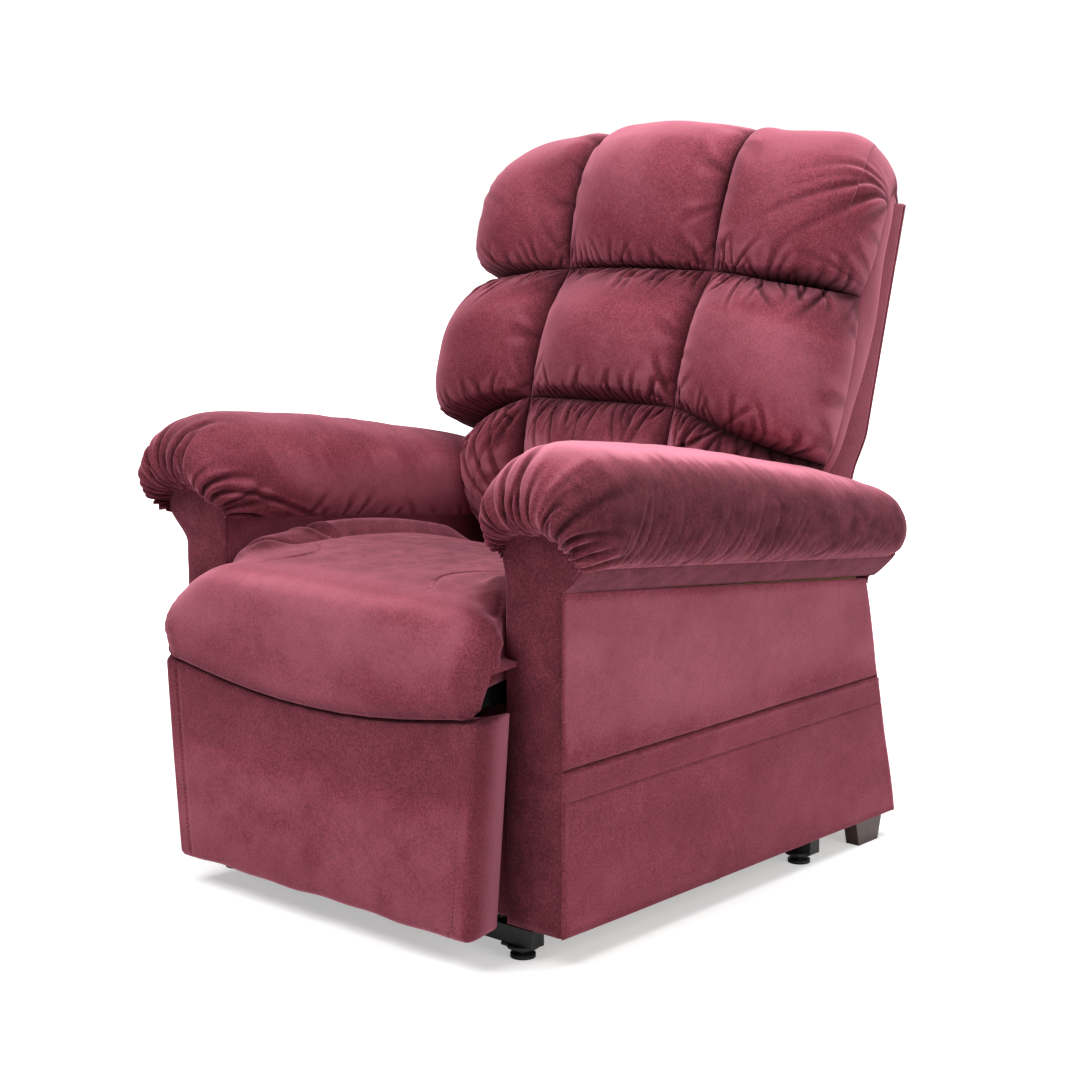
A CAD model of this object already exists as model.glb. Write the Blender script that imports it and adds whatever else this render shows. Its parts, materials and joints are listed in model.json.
import bpy
import json
import math
import numpy as np
from mathutils import Vector, Matrix


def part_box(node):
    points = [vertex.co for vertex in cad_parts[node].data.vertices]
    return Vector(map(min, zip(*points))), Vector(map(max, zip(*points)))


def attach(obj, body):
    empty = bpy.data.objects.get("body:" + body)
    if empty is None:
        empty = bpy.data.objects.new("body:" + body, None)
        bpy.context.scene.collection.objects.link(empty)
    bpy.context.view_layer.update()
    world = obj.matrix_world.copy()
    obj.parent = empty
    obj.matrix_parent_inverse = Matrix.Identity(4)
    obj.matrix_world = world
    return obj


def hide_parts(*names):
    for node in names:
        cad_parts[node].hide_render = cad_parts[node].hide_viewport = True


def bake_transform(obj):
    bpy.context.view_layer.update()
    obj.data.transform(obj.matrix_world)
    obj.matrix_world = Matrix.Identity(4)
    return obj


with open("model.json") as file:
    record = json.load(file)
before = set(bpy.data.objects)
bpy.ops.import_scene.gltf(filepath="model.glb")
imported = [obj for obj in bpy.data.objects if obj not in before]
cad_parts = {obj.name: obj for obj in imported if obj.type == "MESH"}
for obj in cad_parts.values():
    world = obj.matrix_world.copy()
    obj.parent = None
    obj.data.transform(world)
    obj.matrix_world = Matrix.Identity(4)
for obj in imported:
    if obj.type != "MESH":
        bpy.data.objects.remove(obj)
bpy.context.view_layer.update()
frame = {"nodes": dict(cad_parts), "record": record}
record = frame["record"]
bpy.context.view_layer.update()


# ---------------------------------------------------------------- places from the CAD frame
def bb(n):
    lo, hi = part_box(n)
    return np.array(lo) * 1000, np.array(hi) * 1000


# local millimetres: y is measured so that the back shell's rear top edge is at 600
YC = 600.0 - bb("back_shell")[1][1]
HX = bb("arm_cover_left")[0][0]                      # inner face of an arm, 281
AX = bb("arm_frame_left")[1][0] + 5.0                # outer face of an arm, 378
FRONT_Y = bb("arm_cover_left")[0][1] + YC            # front of an arm, -380
LEG_LO, LEG_HI = bb("legrest_pad")
LEG_Y0 = LEG_LO[1] + YC                              # front face of the legrest, -475
SLOPE = math.tan(math.radians(5.63))
AX = 378.0 if abs(AX - 378.0) < 6 else AX
TOP0 = 547.0


def zs(y):
    """Height of the seam between an arm box and its pad."""
    return TOP0 - (np.asarray(y, float) + 380.0) * SLOPE


# ---------------------------------------------------------------- small maths
def smooth(t):
    t = np.clip(t, 0, 1)
    return t * t * (3 - 2 * t)


def ramp(x, a, b):
    return smooth((np.asarray(x, float) - a) / (b - a))


def curve(pts, t):
    """Smooth curve through pts, evaluated at shares t of its length."""
    P = np.asarray(pts, float)
    seg = np.maximum(np.linalg.norm(np.diff(P, axis=0), axis=1), 1e-9)
    k = np.r_[0, np.cumsum(seg)]
    m = np.zeros_like(P)
    if len(P) > 2:
        h0 = (k[1:-1] - k[:-2])[:, None]
        h1 = (k[2:] - k[1:-1])[:, None]
        m[1:-1] = ((P[2:] - P[1:-1]) / h1 * h0 + (P[1:-1] - P[:-2]) / h0 * h1) / (h0 + h1)
        m[0] = (P[1] - P[0]) / seg[0] * 1.5 - m[1] * 0.5
        m[-1] = (P[-1] - P[-2]) / seg[-1] * 1.5 - m[-2] * 0.5
    else:
        m[:] = (P[1] - P[0]) / seg[0]
    ss = np.linspace(0, k[-1], 48 * len(P))
    i = np.clip(np.searchsorted(k, ss, side="right") - 1, 0, len(P) - 2)
    h = (k[i + 1] - k[i])
    q = ((ss - k[i]) / h)[:, None]
    h = h[:, None]
    D = ((2 * q ** 3 - 3 * q ** 2 + 1) * P[i] + (q ** 3 - 2 * q ** 2 + q) * h * m[i]
         + (-2 * q ** 3 + 3 * q ** 2) * P[i + 1] + (q ** 3 - q ** 2) * h * m[i + 1])
    L = np.r_[0, np.cumsum(np.linalg.norm(np.diff(D, axis=0), axis=1))]
    x = np.asarray(t, float) * L[-1]
    return np.stack([np.interp(x, L, D[:, c]) for c in range(P.shape[1])], -1)


def length(pts):
    d = curve(pts, np.linspace(0, 1, 200))
    return np.linalg.norm(np.diff(d, axis=0), axis=1).sum()


def edgy(n, mix=0.55):
    """Shares 0..1, denser near both ends."""
    t = np.linspace(0, 1, n)
    return (1 - mix) * t + mix * (0.5 - 0.5 * np.cos(np.pi * t))


def hump(t, p=2.6, q=2.0):
    return np.maximum(1 - np.abs(2 * np.asarray(t) - 1) ** p, 0) ** (1 / q)


def _hash(ix, iy, iz, seed):
    h = (ix.astype(np.int64) * 374761393 + iy.astype(np.int64) * 668265263 + iz.astype(np.int64) * 2147483647
         + seed * 1274126177) & 0xFFFFFFFF
    h = ((h ^ (h >> 13)) * 1274126177) & 0xFFFFFFFF
    h = h ^ (h >> 16)
    return (h & 0xFFFFFF) / float(0xFFFFFF) * 2 - 1


def noise(P, scale, seed=0):
    """Smooth value noise, -1..1, at points P (..., 3), feature size scale."""
    Q = np.asarray(P, float) / scale
    if Q.shape[-1] == 2:
        Q = np.concatenate([Q, np.zeros(Q.shape[:-1] + (1,))], -1)
    f = np.floor(Q)
    r = Q - f
    r = r * r * r * (r * (r * 6 - 15) + 10)
    i = f.astype(np.int64)
    out = 0
    for dx in (0, 1):
        wx = r[..., 0] if dx else 1 - r[..., 0]
        for dy in (0, 1):
            wy = r[..., 1] if dy else 1 - r[..., 1]
            for dz in (0, 1):
                wz = r[..., 2] if dz else 1 - r[..., 2]
                out = out + wx * wy * wz * _hash(i[..., 0] + dx, i[..., 1] + dy, i[..., 2] + dz, seed)
    return out


def normals(P, close_u=False):
    if close_u:
        du = np.roll(P, -1, 0) - np.roll(P, 1, 0)
    else:
        du = np.gradient(P, axis=0)
    dv = np.gradient(P, axis=1)
    n = np.cross(du, dv)
    return n / np.maximum(np.linalg.norm(n, axis=-1, keepdims=True), 1e-9)


def coons(S0, S1, L, R, u, v):
    """S0, S1: (nu,3) bottom and top edges; L, R: (nv,3) side edges."""
    U = u[:, None, None]
    V = v[None, :, None]
    return ((1 - V) * S0[:, None] + V * S1[:, None] + (1 - U) * L[None] + U * R[None]
            - ((1 - U) * (1 - V) * S0[0] + U * (1 - V) * S0[-1] + (1 - U) * V * S1[0] + U * V * S1[-1]))


def creases(s, d, items):
    """Pinched folds that run away from a seam: s along it, d away from it, both in mm."""
    h = np.zeros(np.broadcast(s, d).shape)
    for s0, w, L, depth, slant, bend in items:
        near = np.clip(1 - d / L, 0, 1)
        f = near * near * (3 - 2 * near)
        c = s - s0 - slant * d - bend * d * d / L
        ww = w * (0.55 + 0.85 * d / L)
        h = h - depth * f * np.exp(-(c / ww) ** 2)
        h = h + 0.42 * depth * f * np.exp(-((np.abs(c) - 2.0 * ww) / (1.15 * ww)) ** 2)
    return h


def gathers(rng, s0, s1, step=(15, 27), w=(3.2, 5.5), L=(22, 52), depth=(1.8, 4.2), slant=0.25, bend=0.15):
    out, s = [], s0 + rng.uniform(0.3, 0.8) * step[0]
    while s < s1 - 4:
        out.append((s, rng.uniform(*w), rng.uniform(*L), rng.uniform(*depth), rng.normal(0, slant), rng.normal(0, bend)))
        s += rng.uniform(*step)
    return out


def drags(a, b_, items):
    """Creases that fan out of a corner; a and b_ are the distances from its two seams in mm."""
    r = np.hypot(a, b_)
    t = np.arctan2(b_, a)
    h = np.zeros(r.shape)
    for th, w, L, depth, bend in items:
        near = np.clip(1 - r / L, 0, 1)
        f = near * near * (3 - 2 * near) * ramp(r, 10, 26)
        c = (t - math.radians(th) - bend * r / L) * r
        ww = w * (0.7 + 0.7 * r / L)
        h = h - depth * f * np.exp(-(c / ww) ** 2) + 0.4 * depth * f * np.exp(-((np.abs(c) - 2.1 * ww) / (1.2 * ww)) ** 2)
    return h


def corner(rng, n=4, L=(50, 105), depth=(1.2, 3.0)):
    out = []
    for k in range(n):
        out.append((12 + (k + rng.uniform(0.2, 0.8)) * 66 / n, rng.uniform(3.5, 6.0), rng.uniform(*L), rng.uniform(*depth), rng.normal(0, 0.10)))
    return out


# ---------------------------------------------------------------- mesh building
class Build:
    def __init__(self):
        self.v, self.f, self.n, self.nap = [], [], 0, []

    def pts(self, P, nap=None):
        P = np.asarray(P, float).reshape(-1, 3)
        a = self.n
        self.v.append(P)
        self.nap.append(np.zeros(len(P)) if nap is None else np.broadcast_to(np.asarray(nap, float).reshape(-1), (len(P),)))
        self.n += len(P)
        return a

    def grid(self, P, close_u=False, close_v=False, flip=False, nap=None):
        nu, nv = P.shape[:2]
        a = self.pts(P, nap)
        i = np.arange(nu * nv).reshape(nu, nv) + a
        ii = np.concatenate([i, i[:1]], 0) if close_u else i
        ii = np.concatenate([ii, ii[:, :1]], 1) if close_v else ii
        q = np.stack([ii[:-1, :-1], ii[1:, :-1], ii[1:, 1:], ii[:-1, 1:]], -1).reshape(-1, 4)
        self.f.append(q[:, ::-1] if flip else q)
        return i

    def bridge(self, a, b, closed=False, flip=False):
        a, b = np.asarray(a), np.asarray(b)
        if closed:
            a, b = np.r_[a, a[:1]], np.r_[b, b[:1]]
        q = np.stack([a[:-1], b[:-1], b[1:], a[1:]], -1)
        self.f.append(q[:, ::-1] if flip else q)

    def fan(self, loop, centre, flip=False):
        c = self.pts([centre])
        loop = np.asarray(loop)
        nxt = np.roll(loop, -1)
        t = np.stack([loop, nxt, np.full(len(loop), c)], -1)
        self.f.append(t[:, ::-1] if flip else t)

    def make(self, name, mat, body=None, local=True, merge=0.02, smooth_faces=True, sub=0):
        V = np.concatenate(self.v)
        if local:
            V = V - np.array([0, YC, 0])
        V = V / 1000.0
        me = bpy.data.meshes.new(name)
        faces = [f for f in self.f]
        counts = np.concatenate([np.full(len(f), f.shape[1]) for f in faces])
        loops = np.concatenate([f.ravel() for f in faces])
        me.vertices.add(len(V))
        me.vertices.foreach_set("co", V.astype(np.float32).ravel())
        me.loops.add(len(loops))
        me.loops.foreach_set("vertex_index", loops.astype(np.int32))
        me.polygons.add(len(counts))
        me.polygons.foreach_set("loop_start", np.r_[0, np.cumsum(counts)[:-1]].astype(np.int32))
        me.polygons.foreach_set("loop_total", counts.astype(np.int32))
        me.update(calc_edges=True)
        me.validate(clean_customdata=False)
        at = me.attributes.new("nap", "FLOAT", "POINT")
        at.data.foreach_set("value", np.concatenate(self.nap).astype(np.float32))
        import bmesh
        bm = bmesh.new()
        bm.from_mesh(me)
        bmesh.ops.remove_doubles(bm, verts=bm.verts, dist=merge / 1000.0)
        bmesh.ops.dissolve_degenerate(bm, dist=merge / 1000.0 * 0.5, edges=bm.edges)
        bmesh.ops.recalc_face_normals(bm, faces=bm.faces)
        bm.to_mesh(me)
        bm.free()
        if smooth_faces:
            me.polygons.foreach_set("use_smooth", [True] * len(me.polygons))
        ob = bpy.data.objects.new(name, me)
        bpy.context.scene.collection.objects.link(ob)
        if mat is not None:
            me.materials.append(mat)
        if sub:
            m = ob.modifiers.new("sub", "SUBSURF")
            m.levels = m.render_levels = sub
        if body:
            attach(ob, body)
        return ob


def boundary(i):
    """Loop of indices round a grid."""
    return np.r_[i[:, 0], i[-1, 1:], i[::-1, -1][1:], i[0, ::-1][1:-1]]


def back_close(b, i, P, depth, rings=3, squeeze=0.5):
    """Closes a grid behind: rings shrink to a middle point set back by the vector depth."""
    V = np.concatenate(b.v)
    loop = boundary(i)
    E = V[loop]
    mid = E.mean(0) + np.asarray(depth, float)
    last = loop
    for k in range(1, rings + 1):
        t = k / (rings + 1)
        ring = E + (mid - E) * (t * squeeze) + np.asarray(depth, float) * (1 - squeeze * t) * math.sin(t * math.pi / 2)
        a = b.pts(ring)
        idx = np.arange(len(loop)) + a
        b.bridge(last, idx, closed=True)
        last = idx
    c = np.concatenate(b.v)[last].mean(0)
    b.fan(last, c)


def sheet(b, P, thick, rim=True, nap=0.0):
    """Closed sheet from a grid: the shown side, the hidden side thick behind it, and a rounded rim."""
    N = normals(P)
    i = b.grid(P, nap=np.broadcast_to(np.asarray(nap, float), P.shape[:2]))
    j = b.grid(P - N * thick, flip=True)
    li, lj = boundary(i), boundary(j)
    if rim:
        V = np.concatenate(b.v)
        a, c = V[li], V[lj]
        mid = (a + c) / 2
        out = mid - np.roll(mid, 3, 0)
        out2 = np.roll(mid, -3, 0) - mid
        tang = out + out2
        nn = a - c
        o = np.cross(tang, nn)
        o /= np.maximum(np.linalg.norm(o, axis=1, keepdims=True), 1e-9)
        cen = V[i.ravel()].mean(0)
        if ((mid - cen) * o).sum() < 0:
            o = -o
        k = b.pts(mid + o * thick * 0.35) + np.arange(len(li))
        b.bridge(li, k, closed=True)
        b.bridge(k, lj, closed=True)
    else:
        b.bridge(li, lj, closed=True)
    return i


def tube(b, path, r, n=8, closed=False, caps=True):
    """Round cord along a path of points."""
    P = np.asarray(path, float)
    if closed:
        T = np.roll(P, -1, 0) - np.roll(P, 1, 0)
    else:
        T = np.gradient(P, axis=0)
    T /= np.maximum(np.linalg.norm(T, axis=1, keepdims=True), 1e-9)
    ref = np.array([0.0, 0, 1])
    if abs(T @ ref).max() > 0.97:
        ref = np.array([1.0, 0, 0])
        if abs(T @ ref).max() > 0.97:
            ref = np.array([0.3, 0.9, 0.3])
    A = np.cross(T, ref)
    A /= np.maximum(np.linalg.norm(A, axis=1, keepdims=True), 1e-9)
    B = np.cross(T, A)
    ang = np.arange(n) * 2 * np.pi / n
    r = np.broadcast_to(np.asarray(r, float), (len(P),))
    G = P[:, None] + (A[:, None] * np.cos(ang)[None, :, None] + B[:, None] * np.sin(ang)[None, :, None]) * r[:, None, None]
    i = b.grid(G, close_u=closed, close_v=True)
    if not closed and caps:
        b.fan(i[0], P[0], flip=False)
        b.fan(i[-1], P[-1], flip=True)


def stitches(b, path, pitch=7.5, run=4.4, r=0.75, lift=0.35, up=None):
    """A row of short sewn stitches lying on a surface along a path."""
    P = np.asarray(path, float)
    L = np.r_[0, np.cumsum(np.linalg.norm(np.diff(P, axis=0), axis=1))]
    n = int(L[-1] / pitch)
    if n < 1:
        return
    for k in range(n):
        s = (k + 0.5) * L[-1] / n
        ts = np.clip(np.linspace(s - run / 2, s + run / 2, 6), 0, L[-1])
        q = np.stack([np.interp(ts, L, P[:, c]) for c in range(3)], -1)
        sh = np.sin(np.linspace(0.12, np.pi - 0.12, 6))
        if up is not None:
            u = np.asarray(up, float)
            if u.ndim == 2:
                u = np.array([np.interp(s, L, u[:, c]) for c in range(3)])
            q = q + u[None] * (lift * sh - 0.2)[:, None]
        tube(b, q, r * np.sqrt(sh), n=6)


# ---------------------------------------------------------------- materials
def mat_new(name):
    m = bpy.data.materials.new(name)
    m.use_nodes = True
    nt = m.node_tree
    bs = nt.nodes["Principled BSDF"]
    return m, nt, bs


def srgb(r, g, b):
    def f(c):
        c = c / 255.0
        return c / 12.92 if c <= 0.04045 else ((c + 0.055) / 1.055) ** 2.4
    return (f(r), f(g), f(b), 1)


def N(nt, kind, **kw):
    n = nt.nodes.new(kind)
    for k, v in kw.items():
        if k in ("x", "y"):
            continue
        if k.startswith("i_"):
            key = k[2:]
            n.inputs[int(key) if key.isdigit() else key.replace("_", " ")].default_value = v
        else:
            setattr(n, k, v)
    return n


def link(nt, a, ao, b, bi):
    nt.links.new(a.outputs[ao], b.inputs[bi])


def ramp_node(nt, stops, interp="LINEAR"):
    n = nt.nodes.new("ShaderNodeValToRGB")
    cr = n.color_ramp
    cr.interpolation = interp
    while len(cr.elements) < len(stops):
        cr.elements.new(0.5)
    for e, (p, c) in zip(cr.elements, stops):
        e.position = p
        e.color = c
    return n


def velvet(name, seed=0.0, shade=1.0):
    """Short-pile burgundy microfibre: nap patches, sheen at grazing angles, a fine weave."""
    m, nt, bs = mat_new(name)
    co = N(nt, "ShaderNodeTexCoord")
    mp = N(nt, "ShaderNodeMapping")
    mp.inputs["Location"].default_value = (seed, seed * 0.7, -seed * 0.4)
    link(nt, co, "Object", mp, "Vector")

    def nz(scale, detail=4, rough=0.55, dist=0.0):
        n = N(nt, "ShaderNodeTexNoise")
        n.inputs["Scale"].default_value = scale
        n.inputs["Detail"].default_value = detail
        n.inputs["Roughness"].default_value = rough
        n.inputs["Distortion"].default_value = dist
        link(nt, mp, "Vector", n, "Vector")
        return n

    big = nz(5.5, 6, 0.62, 0.8)
    mid = nz(34, 5, 0.65, 0.5)
    fine = nz(360, 3, 0.7)
    pile = nz(1500, 1, 0.5)
    # nap patches of lighter and darker pile
    rb = ramp_node(nt, [(0.30, (0, 0, 0, 1)), (0.70, (1, 1, 1, 1))])
    link(nt, big, "Fac", rb, "Fac")
    rm = ramp_node(nt, [(0.32, (0, 0, 0, 1)), (0.72, (1, 1, 1, 1))])
    link(nt, mid, "Fac", rm, "Fac")
    add = N(nt, "ShaderNodeMath", operation="MULTIPLY_ADD")
    link(nt, rb, "Color", add, 0)
    add.inputs[1].default_value = 0.60
    sc = N(nt, "ShaderNodeMath", operation="MULTIPLY")
    link(nt, rm, "Color", sc, 0)
    sc.inputs[1].default_value = 0.40
    link(nt, sc, "Value", add, 2)
    d = [c * shade for c in srgb(107, 44, 55)[:3]] + [1]
    l = [c * shade for c in srgb(128, 61, 74)[:3]] + [1]
    base = N(nt, "ShaderNodeMix", data_type="RGBA")
    base.inputs[6].default_value = d
    base.inputs[7].default_value = l
    link(nt, add, "Value", base, 0)
    # pile pressed flat in creases, brushed up on ridges: value carried by the mesh
    na = N(nt, "ShaderNodeAttribute", attribute_name="nap")
    nb = N(nt, "ShaderNodeMath", operation="MULTIPLY_ADD")
    nsub = N(nt, "ShaderNodeMath", operation="SUBTRACT")
    link(nt, mid, "Fac", nsub, 0)
    nsub.inputs[1].default_value = 0.5
    link(nt, nsub, "Value", nb, 0)
    nb.inputs[1].default_value = 0.9
    nabs = N(nt, "ShaderNodeMath", operation="ABSOLUTE")
    link(nt, na, "Fac", nabs, 0)
    nmul = N(nt, "ShaderNodeMath", operation="MULTIPLY")
    link(nt, nb, "Value", nmul, 0)
    link(nt, nabs, "Value", nmul, 1)
    nsum = N(nt, "ShaderNodeMath", operation="ADD")
    link(nt, na, "Fac", nsum, 0)
    link(nt, nmul, "Value", nsum, 1)
    nlow = N(nt, "ShaderNodeMath", operation="MINIMUM")
    link(nt, nsum, "Value", nlow, 0)
    nlow.inputs[1].default_value = 0.10
    nexp = N(nt, "ShaderNodeMath", operation="POWER")
    nexp.inputs[0].default_value = 4.2
    link(nt, nlow, "Value", nexp, 1)
    nsubh = N(nt, "ShaderNodeMath", operation="SUBTRACT")
    link(nt, nsum, "Value", nsubh, 0)
    nsubh.inputs[1].default_value = 0.10
    nhi = N(nt, "ShaderNodeMath", operation="MULTIPLY", use_clamp=True)
    link(nt, nsubh, "Value", nhi, 0)
    nhi.inputs[1].default_value = 0.95
    nv_ = N(nt, "ShaderNodeVectorMath", operation="SCALE")
    link(nt, base, 2, nv_, 0)
    link(nt, nexp, "Value", nv_, "Scale")
    # fine grain of the pile
    gr = N(nt, "ShaderNodeMix", data_type="RGBA", blend_type="OVERLAY")
    gr.inputs[0].default_value = 0.42
    link(nt, nv_, "Vector", gr, 6)
    rf = ramp_node(nt, [(0.34, (0.05, 0.05, 0.05, 1)), (0.66, (0.95, 0.95, 0.95, 1))])
    link(nt, fine, "Fac", rf, "Fac")
    link(nt, rf, "Color", gr, 7)
    # brighter at grazing angles, as pile is
    lw = N(nt, "ShaderNodeLayerWeight")
    lw.inputs["Blend"].default_value = 0.42
    rr = ramp_node(nt, [(0.25, (0, 0, 0, 1)), (1.0, (1, 1, 1, 1))], "EASE")
    link(nt, lw, "Facing", rr, "Fac")
    mul = N(nt, "ShaderNodeMath", operation="MULTIPLY")
    link(nt, rr, "Color", mul, 0)
    mul.inputs[1].default_value = 0.56
    # flattened pile also loses its bright rim
    rim = N(nt, "ShaderNodeMath", operation="MULTIPLY_ADD", use_clamp=True)
    nclamp = N(nt, "ShaderNodeMath", operation="MINIMUM")
    link(nt, nexp, "Value", nclamp, 0)
    nclamp.inputs[1].default_value = 1.35
    link(nt, mul, "Value", rim, 0)
    link(nt, nclamp, "Value", rim, 1)
    link(nt, nhi, "Value", rim, 2)
    edge = N(nt, "ShaderNodeMix", data_type="RGBA")
    link(nt, rim, "Value", edge, 0)
    link(nt, gr, 2, edge, 6)
    edge.inputs[7].default_value = srgb(202, 124, 142)
    link(nt, edge, 2, bs, "Base Color")
    bs.inputs["Roughness"].default_value = 0.92
    bs.inputs["Specular IOR Level"].default_value = 0.10
    shw = N(nt, "ShaderNodeMath", operation="MULTIPLY")
    link(nt, nclamp, "Value", shw, 0)
    shw.inputs[1].default_value = 0.36
    link(nt, shw, "Value", bs, "Sheen Weight")
    bs.inputs["Sheen Roughness"].default_value = 0.34
    bs.inputs["Sheen Tint"].default_value = srgb(235, 150, 168)
    # bump: soft nap ripples, weave and pile
    w1 = N(nt, "ShaderNodeTexWave", wave_type="BANDS", bands_direction="DIAGONAL")
    w1.inputs["Scale"].default_value = 260
    w1.inputs["Distortion"].default_value = 1.6
    w1.inputs["Detail"].default_value = 1
    link(nt, mp, "Vector", w1, "Vector")
    b1 = N(nt, "ShaderNodeBump")
    b1.inputs["Strength"].default_value = 0.10
    b1.inputs["Distance"].default_value = 0.0006
    link(nt, w1, "Fac", b1, "Height")
    b2 = N(nt, "ShaderNodeBump")
    b2.inputs["Strength"].default_value = 0.30
    b2.inputs["Distance"].default_value = 0.0008
    link(nt, pile, "Fac", b2, "Height")
    link(nt, b1, "Normal", b2, "Normal")
    b3 = N(nt, "ShaderNodeBump")
    b3.inputs["Strength"].default_value = 0.12
    b3.inputs["Distance"].default_value = 0.003
    link(nt, mid, "Fac", b3, "Height")
    link(nt, b2, "Normal", b3, "Normal")
    link(nt, b3, "Normal", bs, "Normal")
    return m


def simple(name, col, rough=0.5, metal=0.0, scale=60, var=0.25, bump=0.1, dist=0.0005, spec=0.5, coat=0.0, stretch=None):
    """Moulded, painted or machined finish with fine colour variation, uneven roughness and a small bump."""
    m, nt, bs = mat_new(name)
    co = N(nt, "ShaderNodeTexCoord")
    mp = N(nt, "ShaderNodeMapping")
    if stretch:
        mp.inputs["Scale"].default_value = stretch
    link(nt, co, "Object", mp, "Vector")
    n1 = N(nt, "ShaderNodeTexNoise")
    n1.inputs["Scale"].default_value = scale
    n1.inputs["Detail"].default_value = 5
    link(nt, mp, "Vector", n1, "Vector")
    n2 = N(nt, "ShaderNodeTexNoise")
    n2.inputs["Scale"].default_value = scale * 14
    n2.inputs["Detail"].default_value = 2
    link(nt, mp, "Vector", n2, "Vector")
    r = ramp_node(nt, [(0.3, tuple(c * (1 - var) for c in col[:3]) + (1,)), (0.7, tuple(min(1, c * (1 + var)) for c in col[:3]) + (1,))])
    link(nt, n1, "Fac", r, "Fac")
    link(nt, r, "Color", bs, "Base Color")
    rr = N(nt, "ShaderNodeMapRange")
    rr.inputs["To Min"].default_value = max(0.02, rough - 0.1)
    rr.inputs["To Max"].default_value = min(1, rough + 0.12)
    link(nt, n1, "Fac", rr, "Value")
    link(nt, rr, "Result", bs, "Roughness")
    bs.inputs["Metallic"].default_value = metal
    bs.inputs["Specular IOR Level"].default_value = spec
    bs.inputs["Coat Weight"].default_value = coat
    b = N(nt, "ShaderNodeBump")
    b.inputs["Strength"].default_value = bump
    b.inputs["Distance"].default_value = dist
    link(nt, n2, "Fac", b, "Height")
    link(nt, b, "Normal", bs, "Normal")
    return m, nt, bs


VELVET = velvet("velvet_main", 0.0)
VELVET_B = velvet("velvet_back", 3.1)
VELVET_S = velvet("velvet_seat", 7.7)
VELVET_D = velvet("velvet_seam", 1.3, 0.55)

M = {}
M["painted_frame"] = simple("powder_coat", (0.012, 0.012, 0.013), 0.42, 0.0, 80, 0.4, 0.35, 0.0004, 0.5)[0]
M["zinc"] = simple("zinc_plate", (0.62, 0.62, 0.60), 0.32, 1.0, 45, 0.12, 0.06, 0.0003)[0]
M["steel_rod"] = simple("chrome_rod", (0.72, 0.72, 0.73), 0.16, 1.0, 30, 0.05, 0.03, 0.0002, stretch=(1, 0.1, 1))[0]
M["motor_black"] = simple("motor_black", (0.02, 0.02, 0.021), 0.5, 0.0, 120, 0.3, 0.3, 0.0004)[0]
M["plastic_black"] = simple("plastic_black", (0.018, 0.018, 0.019), 0.55, 0.0, 150, 0.25, 0.3, 0.0003)[0]
M["plastic_grey"] = simple("plastic_grey", (0.06, 0.062, 0.066), 0.5, 0.0, 150, 0.2, 0.3, 0.0003)[0]
M["button_grey"] = simple("button_grey", (0.42, 0.43, 0.45), 0.45, 0.0, 150, 0.1, 0.2, 0.0002)[0]


def plywood():
    m, nt, bs = mat_new("plywood")
    co = N(nt, "ShaderNodeTexCoord")
    sep = N(nt, "ShaderNodeSeparateXYZ")
    link(nt, co, "Object", sep, "Vector")
    mp = N(nt, "ShaderNodeMapping")
    mp.inputs["Scale"].default_value = (6, 1, 6)
    link(nt, co, "Object", mp, "Vector")
    g = N(nt, "ShaderNodeTexNoise")
    g.inputs["Scale"].default_value = 30
    g.inputs["Detail"].default_value = 8
    g.inputs["Distortion"].default_value = 1.2
    link(nt, mp, "Vector", g, "Vector")
    r = ramp_node(nt, [(0.25, srgb(150, 108, 64)), (0.5, srgb(190, 150, 100)), (0.8, srgb(214, 180, 132))])
    link(nt, g, "Fac", r, "Fac")
    link(nt, r, "Color", bs, "Base Color")
    bs.inputs["Roughness"].default_value = 0.75
    b = N(nt, "ShaderNodeBump")
    b.inputs["Strength"].default_value = 0.25
    b.inputs["Distance"].default_value = 0.0006
    link(nt, g, "Fac", b, "Height")
    link(nt, b, "Normal", bs, "Normal")
    return m


def leg_wood():
    m, nt, bs = mat_new("leg_wood")
    co = N(nt, "ShaderNodeTexCoord")
    mp = N(nt, "ShaderNodeMapping")
    mp.inputs["Scale"].default_value = (9, 9, 1.2)
    link(nt, co, "Object", mp, "Vector")
    g = N(nt, "ShaderNodeTexNoise")
    g.inputs["Scale"].default_value = 22
    g.inputs["Detail"].default_value = 9
    g.inputs["Distortion"].default_value = 1.6
    link(nt, mp, "Vector", g, "Vector")
    r = ramp_node(nt, [(0.3, srgb(38, 24, 20)), (0.55, srgb(66, 42, 34)), (0.8, srgb(92, 60, 48))])
    link(nt, g, "Fac", r, "Fac")
    link(nt, r, "Color", bs, "Base Color")
    bs.inputs["Roughness"].default_value = 0.38
    bs.inputs["Coat Weight"].default_value = 0.35
    bs.inputs["Coat Roughness"].default_value = 0.25
    b = N(nt, "ShaderNodeBump")
    b.inputs["Strength"].default_value = 0.2
    b.inputs["Distance"].default_value = 0.0004
    link(nt, g, "Fac", b, "Height")
    link(nt, b, "Normal", bs, "Normal")
    return m


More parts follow.
